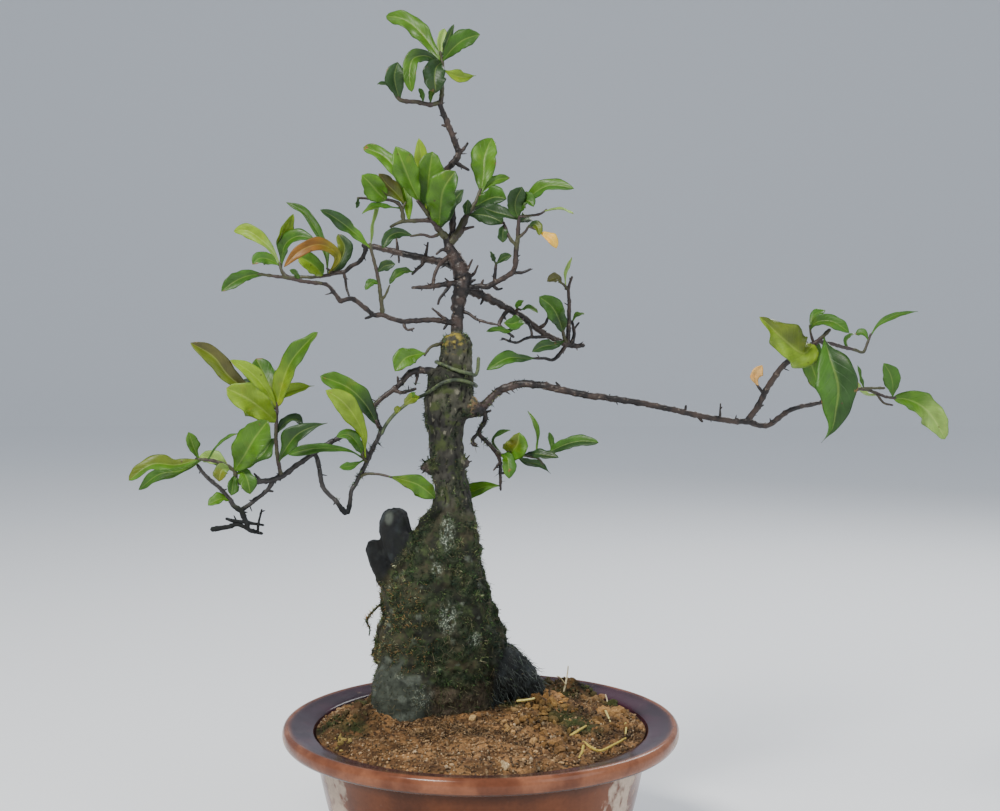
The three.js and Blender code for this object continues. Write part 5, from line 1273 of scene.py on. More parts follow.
def build_wood():
    """The tree's wood: the carved stump with every branch, twig, spur and bud."""
    stump = stump_form()
    carve_stump(stump)
    limbs = [fine_limb(points, seed) for seed, points in enumerate(BRANCHES + SPURS)]
    wood = join_solids(stump, limbs + bud_forms(), "tree")
    points = place_of(wood)
    x, y, z = points.T
    middle_x, middle_y, across, deep = stump_section(np.clip(z, 80, 389))
    away = np.hypot((x - middle_x) / across, (y - middle_y) / deep)
    twig = smoothstep(1.25, 1.5, away) * smoothstep(250, 262, z)
    twig = np.maximum(twig, smoothstep(388, 392, z)) * (1 - stub_share(points))
    put_values(
        wood,
        twig=twig,
        # How deep each point lies in a hollow, which the bark's look darkens as painted shade.
        hollow=hollows(wood),
        low=smoothstep(BARK_EDGE + 14, BARK_EDGE - 12, z + 6 * noise_at(points, 15, 2, seed=8)),
        low_twig=smoothstep(-30, -60, x) * smoothstep(345, 325, z),
        moss=moss_share(points) * (1 - twig),
        stub=np.maximum(stub_share(points), right_root_share(points)),
        mat=mat_share(points),
        facet=blob(points, SAWN_FACET, (3.6, 9, 6), 0.5),
        bare=bulge_share(points),
        middle=smoothstep(345, 325, z),
        crown=smoothstep(372, 380, z) * smoothstep(-8, -16, x),
        # Where the burl lies, whose pale beige is partly its own wood and partly painted highlight.
        burl=blob(points, BURL, (11, 14, 9), 0.6),
        lichen=lichen_share(points),
    )
    finish_piece(wood, "bark", bark_material(), nodes=["trunk_and_branches"])
    return wood


# The moss.


def scatter(surface, count, weight_of, draw):
    """Places on a surface and the outward way there, thicker where the weight is high."""
    mesh = surface.data
    mesh.calc_loop_triangles()
    corners = fetched(mesh.loop_triangles, "vertices", 3, int)
    points = place_of(surface)
    a, b, c = (points[corners[:, k]] for k in range(3))
    cross = np.cross(b - a, c - a)
    area = np.linalg.norm(cross, axis=1) / 2
    weight = area * weight_of(np.mean([a, b, c], axis=0))
    chosen = draw.choice(len(area), count, p=weight / weight.sum())
    u, v = draw.random((2, count))
    turn = u + v > 1
    u[turn], v[turn] = 1 - u[turn], 1 - v[turn]
    u, v = u[:, None], v[:, None]
    places = a[chosen] * (1 - u - v) + b[chosen] * u + c[chosen] * v
    return places, unit(cross[chosen])


def strands(feet, ways, long, wide, bow, steps):
    """Slim closed three-sided strands from their feet, each bent along its bow."""
    aside = unit(np.cross(ways, np.roll(ways, 1, axis=1) + np.array([0.31, 0.17, 0.23])))
    other = np.cross(ways, aside)
    rings = []
    for step in range(steps):
        share = step / steps
        centre = feet + ways * (long * share)[:, None] + bow * (long * share ** 2)[:, None]
        reach = (wide * (1 - 0.6 * share))[:, None]
        rings += [centre + (aside * math.cos(t) + other * math.sin(t)) * reach
                  for t in (0, 2 * math.pi / 3, 4 * math.pi / 3)]
    tip = feet + ways * long[:, None] + bow * long[:, None]
    points = np.stack([*rings, tip], axis=1).reshape(-1, 3)
    last, end = 3 * (steps - 1), 3 * steps
    walls = [[low + k, low + (k + 1) % 3, low + 3 + (k + 1) % 3, low + 3 + k]
             for low in range(0, last, 3) for k in range(3)]
    tips = [[last + k, last + (k + 1) % 3, end] for k in range(3)]
    points_each = 3 * steps + 1
    first = np.arange(len(feet))[:, None] * points_each
    faces = [face for shape in [[0, 2, 1], *walls, *tips] for face in (first + np.array(shape)).tolist()]
    return points, faces, points_each


def thickness(share_of, low, high, reach):
    """The weight for scattering on the stump: a share between two heights, and 0 elsewhere."""
    def weight(places):
        x, y, z = places.T
        near = (z > low) & (z < high) & (np.hypot(x - STUMP_MIDDLE, y) < reach)
        cover = np.zeros(len(places))
        cover[near] = share_of(places[near])
        return cover
    return weight


def build_strands(name, tint, tip, *form):
    """A piece of strands, each with its own tint, darker at its foot and lighter towards its tip: partly the
    strands' own paler tips, partly painted shade at their feet.
    """
    points, faces, each = strands(*form)
    piece = make_object(name, points, faces)
    lightness = np.tile([0.0] * (each - 1) + [tip], len(tint))
    put_values(piece, tint=np.repeat(tint, each, axis=0), tip=lightness)
    finish_piece(piece, "bark", moss_material(), smooth=False)


def build_moss(wood):
    """Short strands of moss over the stump, each a slim closed spike."""
    draw = np.random.default_rng(11)
    weight = thickness(lambda places: moss_share(places) ** 1.3, 112, 390, 80)
    places, ways = scatter(wood, MOSS_STRANDS, weight, draw)
    count = len(places)
    x, _, z = places.T
    lean = unit(ways + 0.55 * draw.normal(size=(count, 3)) + np.array([0, 0, 0.35]))
    clump = noise_at(places, 3.8, 2, seed=21)
    long = draw.uniform(1.2, 2.8, count) * (1 + np.clip(clump, -0.4, 0.5))
    wide = draw.uniform(0.24, 0.5, count)
    kind = 1.3 * noise_at(places, 11, 2, seed=9) + 0.16 * draw.normal(size=count)
    left_warm = smoothstep(-26, -52, x) * smoothstep(136, 152, z) * smoothstep(224, 206, z)
    pick = np.clip((kind + 0.55 + 0.5 * left_warm) * 4.1, 0, len(MOSS_COLOURS) - 1).astype(int)
    tint = tones(MOSS_COLOURS)[pick]
    rusty = draw.random(count) < 0.32 * left_warm
    tint = np.where(rusty[:, None], np.array(tone(*RUSTY_MOSS)), tint)
    bright = draw.uniform(0.7, 1.25, count) * (1 + 1.1 * (draw.random(count) < 0.14))
    # Strands in the taller tufts are lightened and those in the gaps darkened: painted highlight on the
    # tufts and painted shade between them.
    tint = tint * (bright * np.clip(1.1 + 1.9 * clump, 0.35, 2.3))[:, None]
    build_strands("moss", tint, 1.0, places - ways * 0.5, lean, long, wide, 0 * lean, 1)


def hair_share(places):
    """How thickly the fibres lie: in the moss, over the bulge and the right root, and most at the foot."""
    cover = moss_share(places) + 0.7 * right_root_share(places) + 0.5 * bulge_share(places)
    return cover + 3.0 * mat_share(places)


def build_hairs(wood):
    """Long thin fibres that hang in the moss, over the bare bulge and over the right root."""
    draw = np.random.default_rng(12)
    places, ways = scatter(wood, HAIRS, thickness(hair_share, 116, 312, 84), draw)
    count = len(places)
    root = right_root_share(places)
    along = draw.normal(size=(count, 3)) + root[:, None] * np.array([1.6, -0.4, -2.2])
    lean = unit(0.3 * ways + unit(along) * (0.8 + 0.4 * root[:, None]))
    bow = 0.35 * draw.normal(size=(count, 3)) + 0.15 * ways - np.array([0, 0, 0.25])
    long = draw.uniform(1.6, 4.2, count) * (1 + 0.8 * root)
    wide = draw.uniform(0.13, 0.24, count)
    tint = tones(HAIR_COLOURS)[draw.integers(len(HAIR_COLOURS), size=count)]
    tint = tint * draw.uniform(0.6, 1.25, count)[:, None]
    faint = np.array(tone(62, 68, 64)) * draw.uniform(0.3, 1.5, count)[:, None]
    is_pale = (draw.random(count) < 0.14)[:, None]
    faint = np.where(is_pale, np.array(tone(120, 128, 122)) * draw.uniform(0.5, 1.0, count)[:, None], faint)
    tint = np.where((root > 0.5)[:, None], faint, tint)
    build_strands("moss_fibres", tint, 0.6, places + ways * 0.3, lean, long, wide, bow, 3)


# The leaves.


def plant_random(seed):
    """The small seeded stream that also shaped the construction's leaves."""
    state = seed
    while True:
        state = state * 16807 % 2147483647
        yield state / 2147483647


def on_line(line, run, at):
    """The places at given lengths along a line, whose own points lie at the lengths in run."""
    return np.stack([np.interp(at, run, line[:, k]) for k in range(3)], axis=-1)


def leaf_ways(route, middle, half_way, tilts):
    """The ways across the leaf and out of its face, at each point of its middle line."""
    tangent = unit(np.gradient(middle, axis=0))
    chord = unit(route[-1] - route[0])
    towards = unit(VIEWPOINT - half_way)
    lean = np.cross(chord, towards)
    hand = -1 if lean[2] + 0.3 * lean[0] < 0 else 1
    tilt = np.radians(tilts)[:, None] * hand
    face = unit(towards - tangent * (tangent @ towards)[:, None])
    face = face * np.cos(tilt) + np.cross(tangent, face) * np.sin(tilt)
    return unit(np.cross(face, tangent)), face


def half_width(outline, width, along, draw):
    """Half the blade's width at each share of its length, and no less than a slim stalk's."""
    shift, fullness = LEAF_OUTLINES[outline]
    share = np.sin(math.pi * along ** (shift * draw.uniform(0.95, 1.05)))
    share = np.abs(share) ** (fullness * draw.uniform(0.93, 1.07))
    return np.maximum(width * share, 1.15 * (1 - along)) / 2 + 0.12


def blade_waves(wave, phase, width, along, c, index, settle, draw):
    """How far the blade waves, ripples and curls out of its plane."""
    left_wave = np.cos(phase + 2.6 * index) * settle
    right_wave = np.cos(phase + 1.5 + 2.9 * index) * settle
    side_wave = np.where(c[None, :] < 0, left_wave, right_wave) * np.abs(c) ** 1.7
    ripple = np.sin(along[:, None] * draw.uniform(12, 21) + draw.uniform(0, 6) + 2.2 * (c > 0))
    ripple = ripple * np.abs(c) ** 2 * draw.uniform(0.04, 0.10) * width * settle
    curl = -np.clip(along - 0.8, 0, 1)[:, None] ** 2 * draw.uniform(0, 2.2) * width
    return wave * side_wave, ripple, curl


def edge_stray(along, c, settle, draw):
    """A factor about 1 that makes the blade's edges run unevenly, and one side wider than the other."""
    notches = np.sin(along[:, None] * draw.uniform(9, 15) + draw.uniform(0, 6) + 2.6 * (c > 0))
    notches = notches + 0.6 * np.sin(along[:, None] * draw.uniform(24, 34) + draw.uniform(0, 6) * (c > 0))
    return 1 + np.abs(c) ** 3 * (0.075 * notches * settle + 0.06 * np.sign(c) * draw.uniform(-1, 1))


def blade_sides(surface, face, along, c, stalk):
    """The lower and the upper side of a blade that thickens to its rib and its round stalk."""
    thick = 0.36 * (1 - 0.45 * np.abs(c) ** 4) * np.ones((len(along), 1))
    round_stalk = 1.0 * np.sqrt(np.clip(1.05 - c ** 2, 0, 1)) + 0.1
    thick = thick * (1 - stalk) + round_stalk * stalk
    rib = bell(c, 0, 0.10) * 0.55 * (1 - along[:, None]) * (1 - stalk)
    upper = surface + face[:, None] * (thick / 2 - 0.18 * rib)[..., None]
    lower = surface - face[:, None] * (thick / 2 + rib)[..., None]
    return np.concatenate([lower.reshape(-1, 3), upper.reshape(-1, 3)])


def blade(leaf, stream, draw):
    """One fine leaf. Gives its points, its faces, and each point's place: across, along and side."""
    _, outline, width, tilt_at_base, tilt_at_tip, laid_out = leaf
    route = seen(laid_out)
    dense = curve(route, np.linspace(0, len(route) - 1, 400))
    run = lengths_along(dense)
    length = run[-1]
    is_narrow = width < NARROW_LEAF
    steps = min(max(math.floor(length / LEAF_STEP + 0.5), 3), 4 if is_narrow else 6)
    fold = math.radians(14 + 14 * next(stream))
    wave = width * (0.05 + 0.04 * next(stream))
    phase = 2 * math.pi * next(stream)
    rows = int(np.clip(length / LEAF_CELL, 14, 40)) + 1
    columns = 7 if is_narrow else 11
    along = np.linspace(0, 1, rows)
    c = np.linspace(-1, 1, columns)
    middle = on_line(dense, run, along * length)
    tilts = tilt_at_base + (tilt_at_tip - tilt_at_base) * along
    across, face = leaf_ways(route, middle, on_line(dense, run, length / 2), tilts)
    stalk = (1 - smoothstep(0.03, 0.16, along))[:, None]
    half = half_width(outline, width, along, draw)[:, None]
    index = (along * steps)[:, None]
    settle = np.clip(index, 0, 1) * np.clip((steps - index) * 1.6, 0, 1)
    waves = blade_waves(wave, phase, width, along, c, index, settle, draw)
    spread = half * math.cos(fold) * c * edge_stray(along, c, settle, draw)
    arch = np.sin(math.pi * np.abs(c)) * 0.07
    rise = half * (math.sin(fold) * np.sqrt(c ** 2 + 0.004) + arch) * (1 - stalk)
    lift = sum(waves, rise)
    surface = middle[:, None] + across[:, None] * spread[..., None] + face[:, None] * lift[..., None]
    points = blade_sides(surface, face, along, c, stalk)
    grid = np.stack(np.broadcast_arrays(c, along[:, None]), axis=-1).reshape(-1, 2)
    places = np.column_stack([np.tile(grid, (2, 1)), np.repeat([1.0, 0.0], len(grid))])
    return points, slab_faces(rows, columns), places


def leaf_tint(look, where):
    """The colour at each point: one colour, base>tip, or left|right as seen on the way to the tip. Between
    bright, mid and dark, it paints the leaf partly lit and partly in painted shade.
    """
    names = look.replace("|", ">").split(">")
    first, last = (np.array(LEAF_COLOURS[names[end]]) for end in (0, -1))
    share = smoothstep(-0.12, 0.12, -where[:, :1]) if "|" in look else smoothstep(0.3, 0.6, where[:, 1:2])
    return first + (last - first) * share


def build_sprays():
    """One piece for each leafy spray: its shoots and its leaves."""
    stream = plant_random(20)
    draw = random.Random(5)
    leaf_look = leaf_material()
    shoot_look = shoot_material()
    for number, (name, parts) in enumerate(SPRAYS.items()):
        forms, places, tints, kinds = [], [], [], []
        for leaf in parts["leaves"]:
            points, faces, where = blade(leaf, stream, draw)
            forms.append((points, faces))
            places.append(where)
            shade = draw.uniform(0.85, 1.15)
            tints.append(leaf_tint(leaf[0], where) * shade)
            kinds += [0] * len(faces)
        for seed, limb in enumerate(parts["shoots"]):
            points, faces = fine_limb(limb, 200 + 10 * number + seed)
            forms.append((points, faces))
            places.append(np.zeros((len(points), 3)))
            tints.append(np.zeros((len(points), 3)))
            kinds += [1] * len(faces)
        spray = make_object(name + "_fine", *gather(forms))
        put_values(spray, leaf_place=np.concatenate(places), tint=np.concatenate(tints))
        slot = "old_leaf" if name == "leaf_orange" else "leaf"
        nodes = [name] if name in frame["nodes"] else []
        finish_piece(spray, slot, leaf_look, shoot_look, nodes=nodes)
        spray.data.polygons.foreach_set("material_index", kinds)


# The tie, the pot and the soil.


def build_tie():
    """The soft tie, from its lead over its turns round the stump to the end that stands up."""
    round_stump = [stump_point(np.array(math.radians(bearing)), height, TIE_RADIUS + TIE_CLEARANCE)
                   for bearing, height in TIE_TURNS]
    route = np.vstack([seen(TIE_LEAD_IN), round_stump, seen(TIE_TAIL)])
    at = np.linspace(0, len(route) - 1, 260)
    tie = make_object("tie", *tube(curve(route, at), np.full(len(at), TIE_RADIUS), 10, lumps=0.05))
    finish_piece(tie, "tie", tie_material(), nodes=["green_tie"])


def pot_profile():
    """The pot's outline from the middle of its base, over the lip and down to the middle of its floor."""
    lip_bottom = POT_RIM_TOP - POT_LIP_HEIGHT
    foot = [[0, 0], [POT_FOOT_RADIUS - 1, 0], [POT_FOOT_RADIUS + 0.4, 1.2], [POT_FOOT_RADIUS + 4, 12]]
    wall = [[101, 31], [108, 52], [113, 73], [117, 93], [118.4, 96.6]]
    under_lip = [[122, 98.8], [128, 100.2], [134, 101.5], [137.6, 102.6], [139.6, 104.6]]
    lip = [
        [POT_RIM_RADIUS + 0.5, lip_bottom + 4.4],
        [POT_RIM_RADIUS + 0.4, lip_bottom + 7.4],
        [POT_RIM_RADIUS - 0.6, POT_RIM_TOP - 1.2],
        [POT_RIM_RADIUS - 2.4, POT_RIM_TOP],
        [POT_RIM_RADIUS - 5, POT_RIM_TOP - 0.3],
    ]
    rim = [
        [130, 112.7],
        [POT_SOIL_RADIUS + 3, POT_SOIL_LEVEL + 1],
        [POT_SOIL_RADIUS + 1, POT_SOIL_LEVEL],
        [POT_SOIL_RADIUS, POT_SOIL_LEVEL - 2],
    ]
    inside = [[111, 97], [106.3, 78], [92, 27], [80, POT_FLOOR], [0, POT_FLOOR]]
    corners = np.array(foot + wall + under_lip + lip + rim + inside, float)
    at = np.concatenate([[0], np.linspace(1, len(corners) - 2, 110), [len(corners) - 1]])
    flat = np.column_stack([corners, np.zeros(len(corners))])
    return curve(flat, at)[:, :2]


def drain_holes():
    """The bodies of the round holes in the pot's floor."""
    holes = []
    for index in range(DRAIN_HOLES):
        bearing = (index + 0.5) / DRAIN_HOLES * 2 * math.pi
        middle = DRAIN_CIRCLE * np.array([math.cos(bearing), math.sin(bearing), 0])
        line = middle + np.array([[0, 0, height] for height in np.linspace(-6, POT_FLOOR + 6, 5)])
        holes.append(tube(line, np.full(len(line), DRAIN_RADIUS), 24))
    return holes


def turned_pot():
    """The pot as it came off the wheel, not quite round, without its holes."""
    rings = np.array([[[r * math.cos(t), r * math.sin(t), z] for t in round_angles(POT_SIDES)]
                      for r, z in pot_profile()[1:-1]])
    points, faces = close_rings(rings)
    wobble = 0.25 * noise_at(points, 60, 1, seed=12) + 0.08 * noise_at(points, 9, 1, seed=13)
    outward = points * np.array([1, 1, 0])
    outward /= np.maximum(np.linalg.norm(outward, axis=1, keepdims=True), 1)
    points -= outward * (0.3 + wobble)[:, None] * (points[:, 2:3] > 3)
    return make_object("solid_pot", points, faces)


def build_pot():
    """The glazed pot, with where whitish patches lie on its glaze, where its inside and lip lie, and the
    band under the lip that its look darkens as painted shade.
    """
    pot = join_solids(turned_pot(), drain_holes(), "glazed_pot", "DIFFERENCE")
    x, y, z = place_of(pot).T
    out = np.hypot(x, y)
    bearing = np.degrees(np.arctan2(-y, x))
    wall = smoothstep(99, 93, z)
    # Whitish patches on the wall at two bearings, and on the lip at its two sides.
    band = np.maximum(bell(bearing, 33, 13), bell(bearing, 150, 11)) * wall * smoothstep(20, 60, z)
    lip = bell(z, 108, 4) * (out > 137)
    edge = lip * np.maximum(bell(bearing, 8, 17), bell(bearing, 170, 14))
    put_values(
        pot,
        worn=np.maximum(band, edge),
        inside=smoothstep(137.5, 133, out) * (z > 104),
        lip=(out > 125) * (z > 100.5),
        # The band just under the lip, which the glaze darkens as painted shade.
        under=smoothstep(88, 97, z) * (z < 104),
    )
    finish_piece(pot, "glaze", glaze_material(), nodes=["pot"])


def soil_height(x, y):
    """How high the soil lies at a place, with its mounds, its dips and its small waves."""
    heaped = sum(height * np.exp(-((x - mx) ** 2 + (y - my) ** 2) / (2 * reach ** 2))
                 for mx, my, height, reach in SOIL_MOUNDS)
    lumps = 0.9 * np.sin(x / 6.1 + 1.3 * np.sin(y / 9)) * np.cos(y / 5.3 + np.sin(x / 8))
    inward = smoothstep(0, 14, POT_SOIL_RADIUS - np.hypot(x, y))
    return POT_SOIL_LEVEL - 1.5 + inward * (1.5 + heaped + lumps)


def disk_grid(count, radius):
    """An even grid of points over a disk, with its quads and its border in order."""
    u, v = np.meshgrid(np.linspace(-1, 1, count), np.linspace(-1, 1, count), indexing="ij")
    big = np.maximum(np.abs(u), np.abs(v))
    small = np.minimum(np.abs(u), np.abs(v))
    angle = np.where(big > 0, small / np.maximum(big, 1e-9), 0) * math.pi / 4
    along, aside = big * np.cos(angle), big * np.sin(angle)
    steep = np.abs(v) > np.abs(u)
    x = np.where(steep, aside, along) * np.sign(u + (u == 0)) * radius
    y = np.where(steep, along, aside) * np.sign(v + (v == 0)) * radius
    quads = sheet_quads(count, count)[:, [0, 3, 2, 1]]
    top, side = np.arange(count), (count - 1) * count
    border = np.concatenate([top[:-1] * count, side + top[:-1], top[:0:-1] * count + count - 1, top[:0:-1]])
    return x.ravel(), y.ravel(), quads.tolist(), border


def build_soil():
    """The soil with its lumpy top, closed by the wall and the floor of the hollow that it fills."""
    x, y, faces, border = disk_grid(SOIL_GRID, POT_SOIL_RADIUS - 1.2)
    points = np.stack([x, y, soil_height(x, y)], axis=1)
    inward = smoothstep(0, 8, POT_SOIL_RADIUS - np.hypot(x, y))
    rough = 1 + 0.6 * smoothstep(10, 40, x)
    lumps = 2.0 * noise_at(points, 9, 3, seed=15) + 0.9 * noise_at(points, 2.6, 1, seed=16)
    points[:, 2] += inward * rough * lumps
    outward = unit(points[border, :2])
    count = len(border)
    walls = [np.column_stack([outward * radius, np.full(count, height)]) for radius, height in SOIL_WALL]
    rows = [border] + [len(points) + k * count + np.arange(count) for k in range(len(walls))]
    for upper, lower in zip(rows[:-1], rows[1:]):
        faces += np.stack([np.roll(upper, -1), upper, lower, np.roll(lower, -1)], axis=1).tolist()
    faces.append(rows[-1][::-1].tolist())
    points = np.vstack([points, *walls])
    soil = make_object("soil_bed", points, faces)
    x, y, _ = points.T
    put_values(soil, green=green_share(x, y), shade=soil_shade(x, y))
    finish_piece(soil, "soil", soil_material(), nodes=["soil"])


def on_soil(across, up, lift=0.0):
    """The place on the soil, or above it, that is seen at a place of the picture plane."""
    plane = np.array([across, 0.0, up])
    way = unit(plane - VIEWPOINT)
    place = plane
    for _ in range(12):
        level = float(soil_height(place[0], place[1])) + lift
        place = VIEWPOINT + way * (level - VIEWPOINT[2]) / way[2]
    out = math.hypot(place[0], place[1])
    if out > POT_SOIL_RADIUS - 8:
        place[:2] *= (POT_SOIL_RADIUS - 8) / out
    return place


def green_share(x, y):
    """1 where moss greens the soil and 0 elsewhere."""
    total = 0
    for across, up, reach in SOIL_GREENS:
        place = on_soil(across, up)
        total = total + np.exp(-((x - place[0]) ** 2 + (y - place[1]) ** 2) / (2 * reach ** 2))
    return np.clip(total, 0, 1)


def soil_shade(x, y):
    """How light the soil is at each place: pale and fine in front, darker and patchy elsewhere."""
    front = np.exp(-((x + 2) / 50) ** 2 / 2 - ((y + 82) / 22) ** 2 / 2)
    places = np.column_stack([x, y, np.zeros(len(x))])
    return 0.78 + 0.3 * front + (1 - 0.6 * front) * 0.7 * noise_at(places, 17, 3, seed=24)


def rock(detail, lumps):
    """The points and faces of a ball of unit size, and how lumpy it gets."""
    shape = bmesh.new()
    bmesh.ops.create_icosphere(shape, subdivisions=detail, radius=1)
    points = np.array([list(vertex.co) for vertex in shape.verts])
    faces = [[vertex.index for vertex in face.verts] for face in shape.faces]
    shape.free()
    return points, faces, lumps


def crumb_spots(draw):
    """Small crumbs all over the soil: place, size, colour and shape."""
    fine = rock(1, 1)
    spots = []
    for _ in range(CRUMBS):
        radius = POT_SOIL_RADIUS * math.sqrt(draw.random()) * 0.98
        bearing = draw.uniform(0, 2 * math.pi)
        x, y = radius * math.cos(bearing), radius * math.sin(bearing)
        size = draw.uniform(0.35, 0.85) * (1.5 if draw.random() < 0.12 else 1) * (1.2 if x > 20 else 1)
        spots.append((x, y, size, CRUMB_COLOURS[draw.integers(len(CRUMB_COLOURS))], fine))
    return spots


def clump_spots(draw):
    """The lumps and stones of every clump, in the same form."""
    coarse = rock(2, 0.75)
    spots = []
    for across, up, reach, count, size, colour in CLUMPS:
        middle = on_soil(across, up)
        for _ in range(count):
            x, y = middle[:2] + draw.normal(size=2) * reach
            pull = min(1, (POT_SOIL_RADIUS - 5) / math.hypot(x, y))
            grown = size * (0.35 + 0.95 * draw.random() ** 1.6)
            dull = np.array(tone(*colour)) * draw.uniform(0.5, 1.1)
            spots.append((x * pull, y * pull, grown, dull, coarse))
    return spots


def build_grains():
    """Loose crumbs, lumps and stones over the soil."""
    draw = np.random.default_rng(21)
    spots = crumb_spots(draw) + clump_spots(draw)
    across, behind = np.array([spot[:2] for spot in spots]).T
    greens, lights = green_share(across, behind), soil_shade(across, behind)
    forms, tints = [], []
    for (x, y, size, colour, (shape, faces, lumps)), green, light in zip(spots, greens, lights):
        uneven = 1 + 0.26 * draw.normal(size=(len(shape), 1)).clip(-1.3, 1.3) * lumps
        lumpy = shape * uneven * draw.uniform(0.55, 1.3, 3) * size
        angle = draw.uniform(0, 2 * math.pi)
        cosine, sine = math.cos(angle), math.sin(angle)
        spin = np.array([[cosine, -sine, 0], [sine, cosine, 0], [0, 0, 1]])
        height = float(soil_height(x, y)) + draw.uniform(-0.2, 0.45) * size
        forms.append((lumpy @ spin + np.array([x, y, height + 0.5]), faces))
        mossy = 0.95 * min(1, 1.4 * green) * (draw.random() < 0.8)
        shade = colour * light * (1 - mossy) + np.array(tone(50, 56, 28)) * mossy
        tints.append(np.tile(shade * draw.uniform(0.7, 1.3), (len(shape), 1)))
    grains = make_object("soil_grains", *gather(forms))
    put_values(grains, tint=np.concatenate(tints))
    finish_piece(grains, "soil", grain_material(), smooth=False)


def fibre_feet(draw):
    """Where fibres lie on the soil: half of them in front of the stump, the others all over."""
    x = draw.normal(size=FIBRES) * 24 - 12
    y = draw.normal(size=FIBRES) * 9 - 44
    half = FIBRES // 2
    x[half:] = draw.uniform(-95, 100, FIBRES - half)
    y[half:] = draw.uniform(-95, 60, FIBRES - half)
    kept = np.hypot(x, y) < POT_SOIL_RADIUS - 4
    x, y = x[kept], y[kept]
    return np.column_stack([x, y, soil_height(x, y) + 0.4])


def build_litter():
    """Dry roots and stalks on the soil, and the brown fibres that mat it in front of the stump."""
    draw = np.random.default_rng(33)
    forms, tints = [], []
    for number, (colour, radius, route) in enumerate(STALKS):
        ground = np.array([on_soil(across, up, lift) for across, up, lift in route], float)
        at = np.linspace(0, len(route) - 1, 9 * len(route))
        thick = radius * np.interp(at, [0, len(route) - 1], [1, 0.6])
        forms.append(tube(curve(ground, at), thick, 6, lumps=0.2, seed=40 + number))
        tints.append(np.tile(tone(*colour), (len(forms[-1][0]), 1)))
    feet = fibre_feet(draw)
    count = len(feet)
    ways = unit(draw.normal(size=(count, 3)) * np.array([1, 1, 0.25]) + np.array([0, 0, 0.32]))
    bow = draw.normal(size=(count, 3)) * 0.3 - np.array([0, 0, 0.25])
    long = draw.uniform(2.5, 7, count)
    wide = draw.uniform(0.14, 0.26, count)
    points, faces, each = strands(feet, ways, long, wide, bow, 3)
    forms.append((points, faces))
    colours = tones(FIBRE_COLOURS)[draw.integers(len(FIBRE_COLOURS), size=count)]
    tints.append(np.repeat(colours * draw.uniform(0.6, 1.2, count)[:, None], each, axis=0))
    litter = make_object("litter", *gather(forms))
    put_values(litter, tint=np.concatenate(tints))
    finish_piece(litter, "soil", grain_material(), smooth=False)


# The looks.


def tone(red, green, blue):
    """The shader's colour for a colour as it is seen, each part from 0 to 255."""
    return tuple(((part / 255 + 0.055) / 1.055) ** 2.4 if part > 10 else part / 3295
                 for part in (red, green, blue))


def tones(colours):
    return np.array([tone(*colour) for colour in colours])


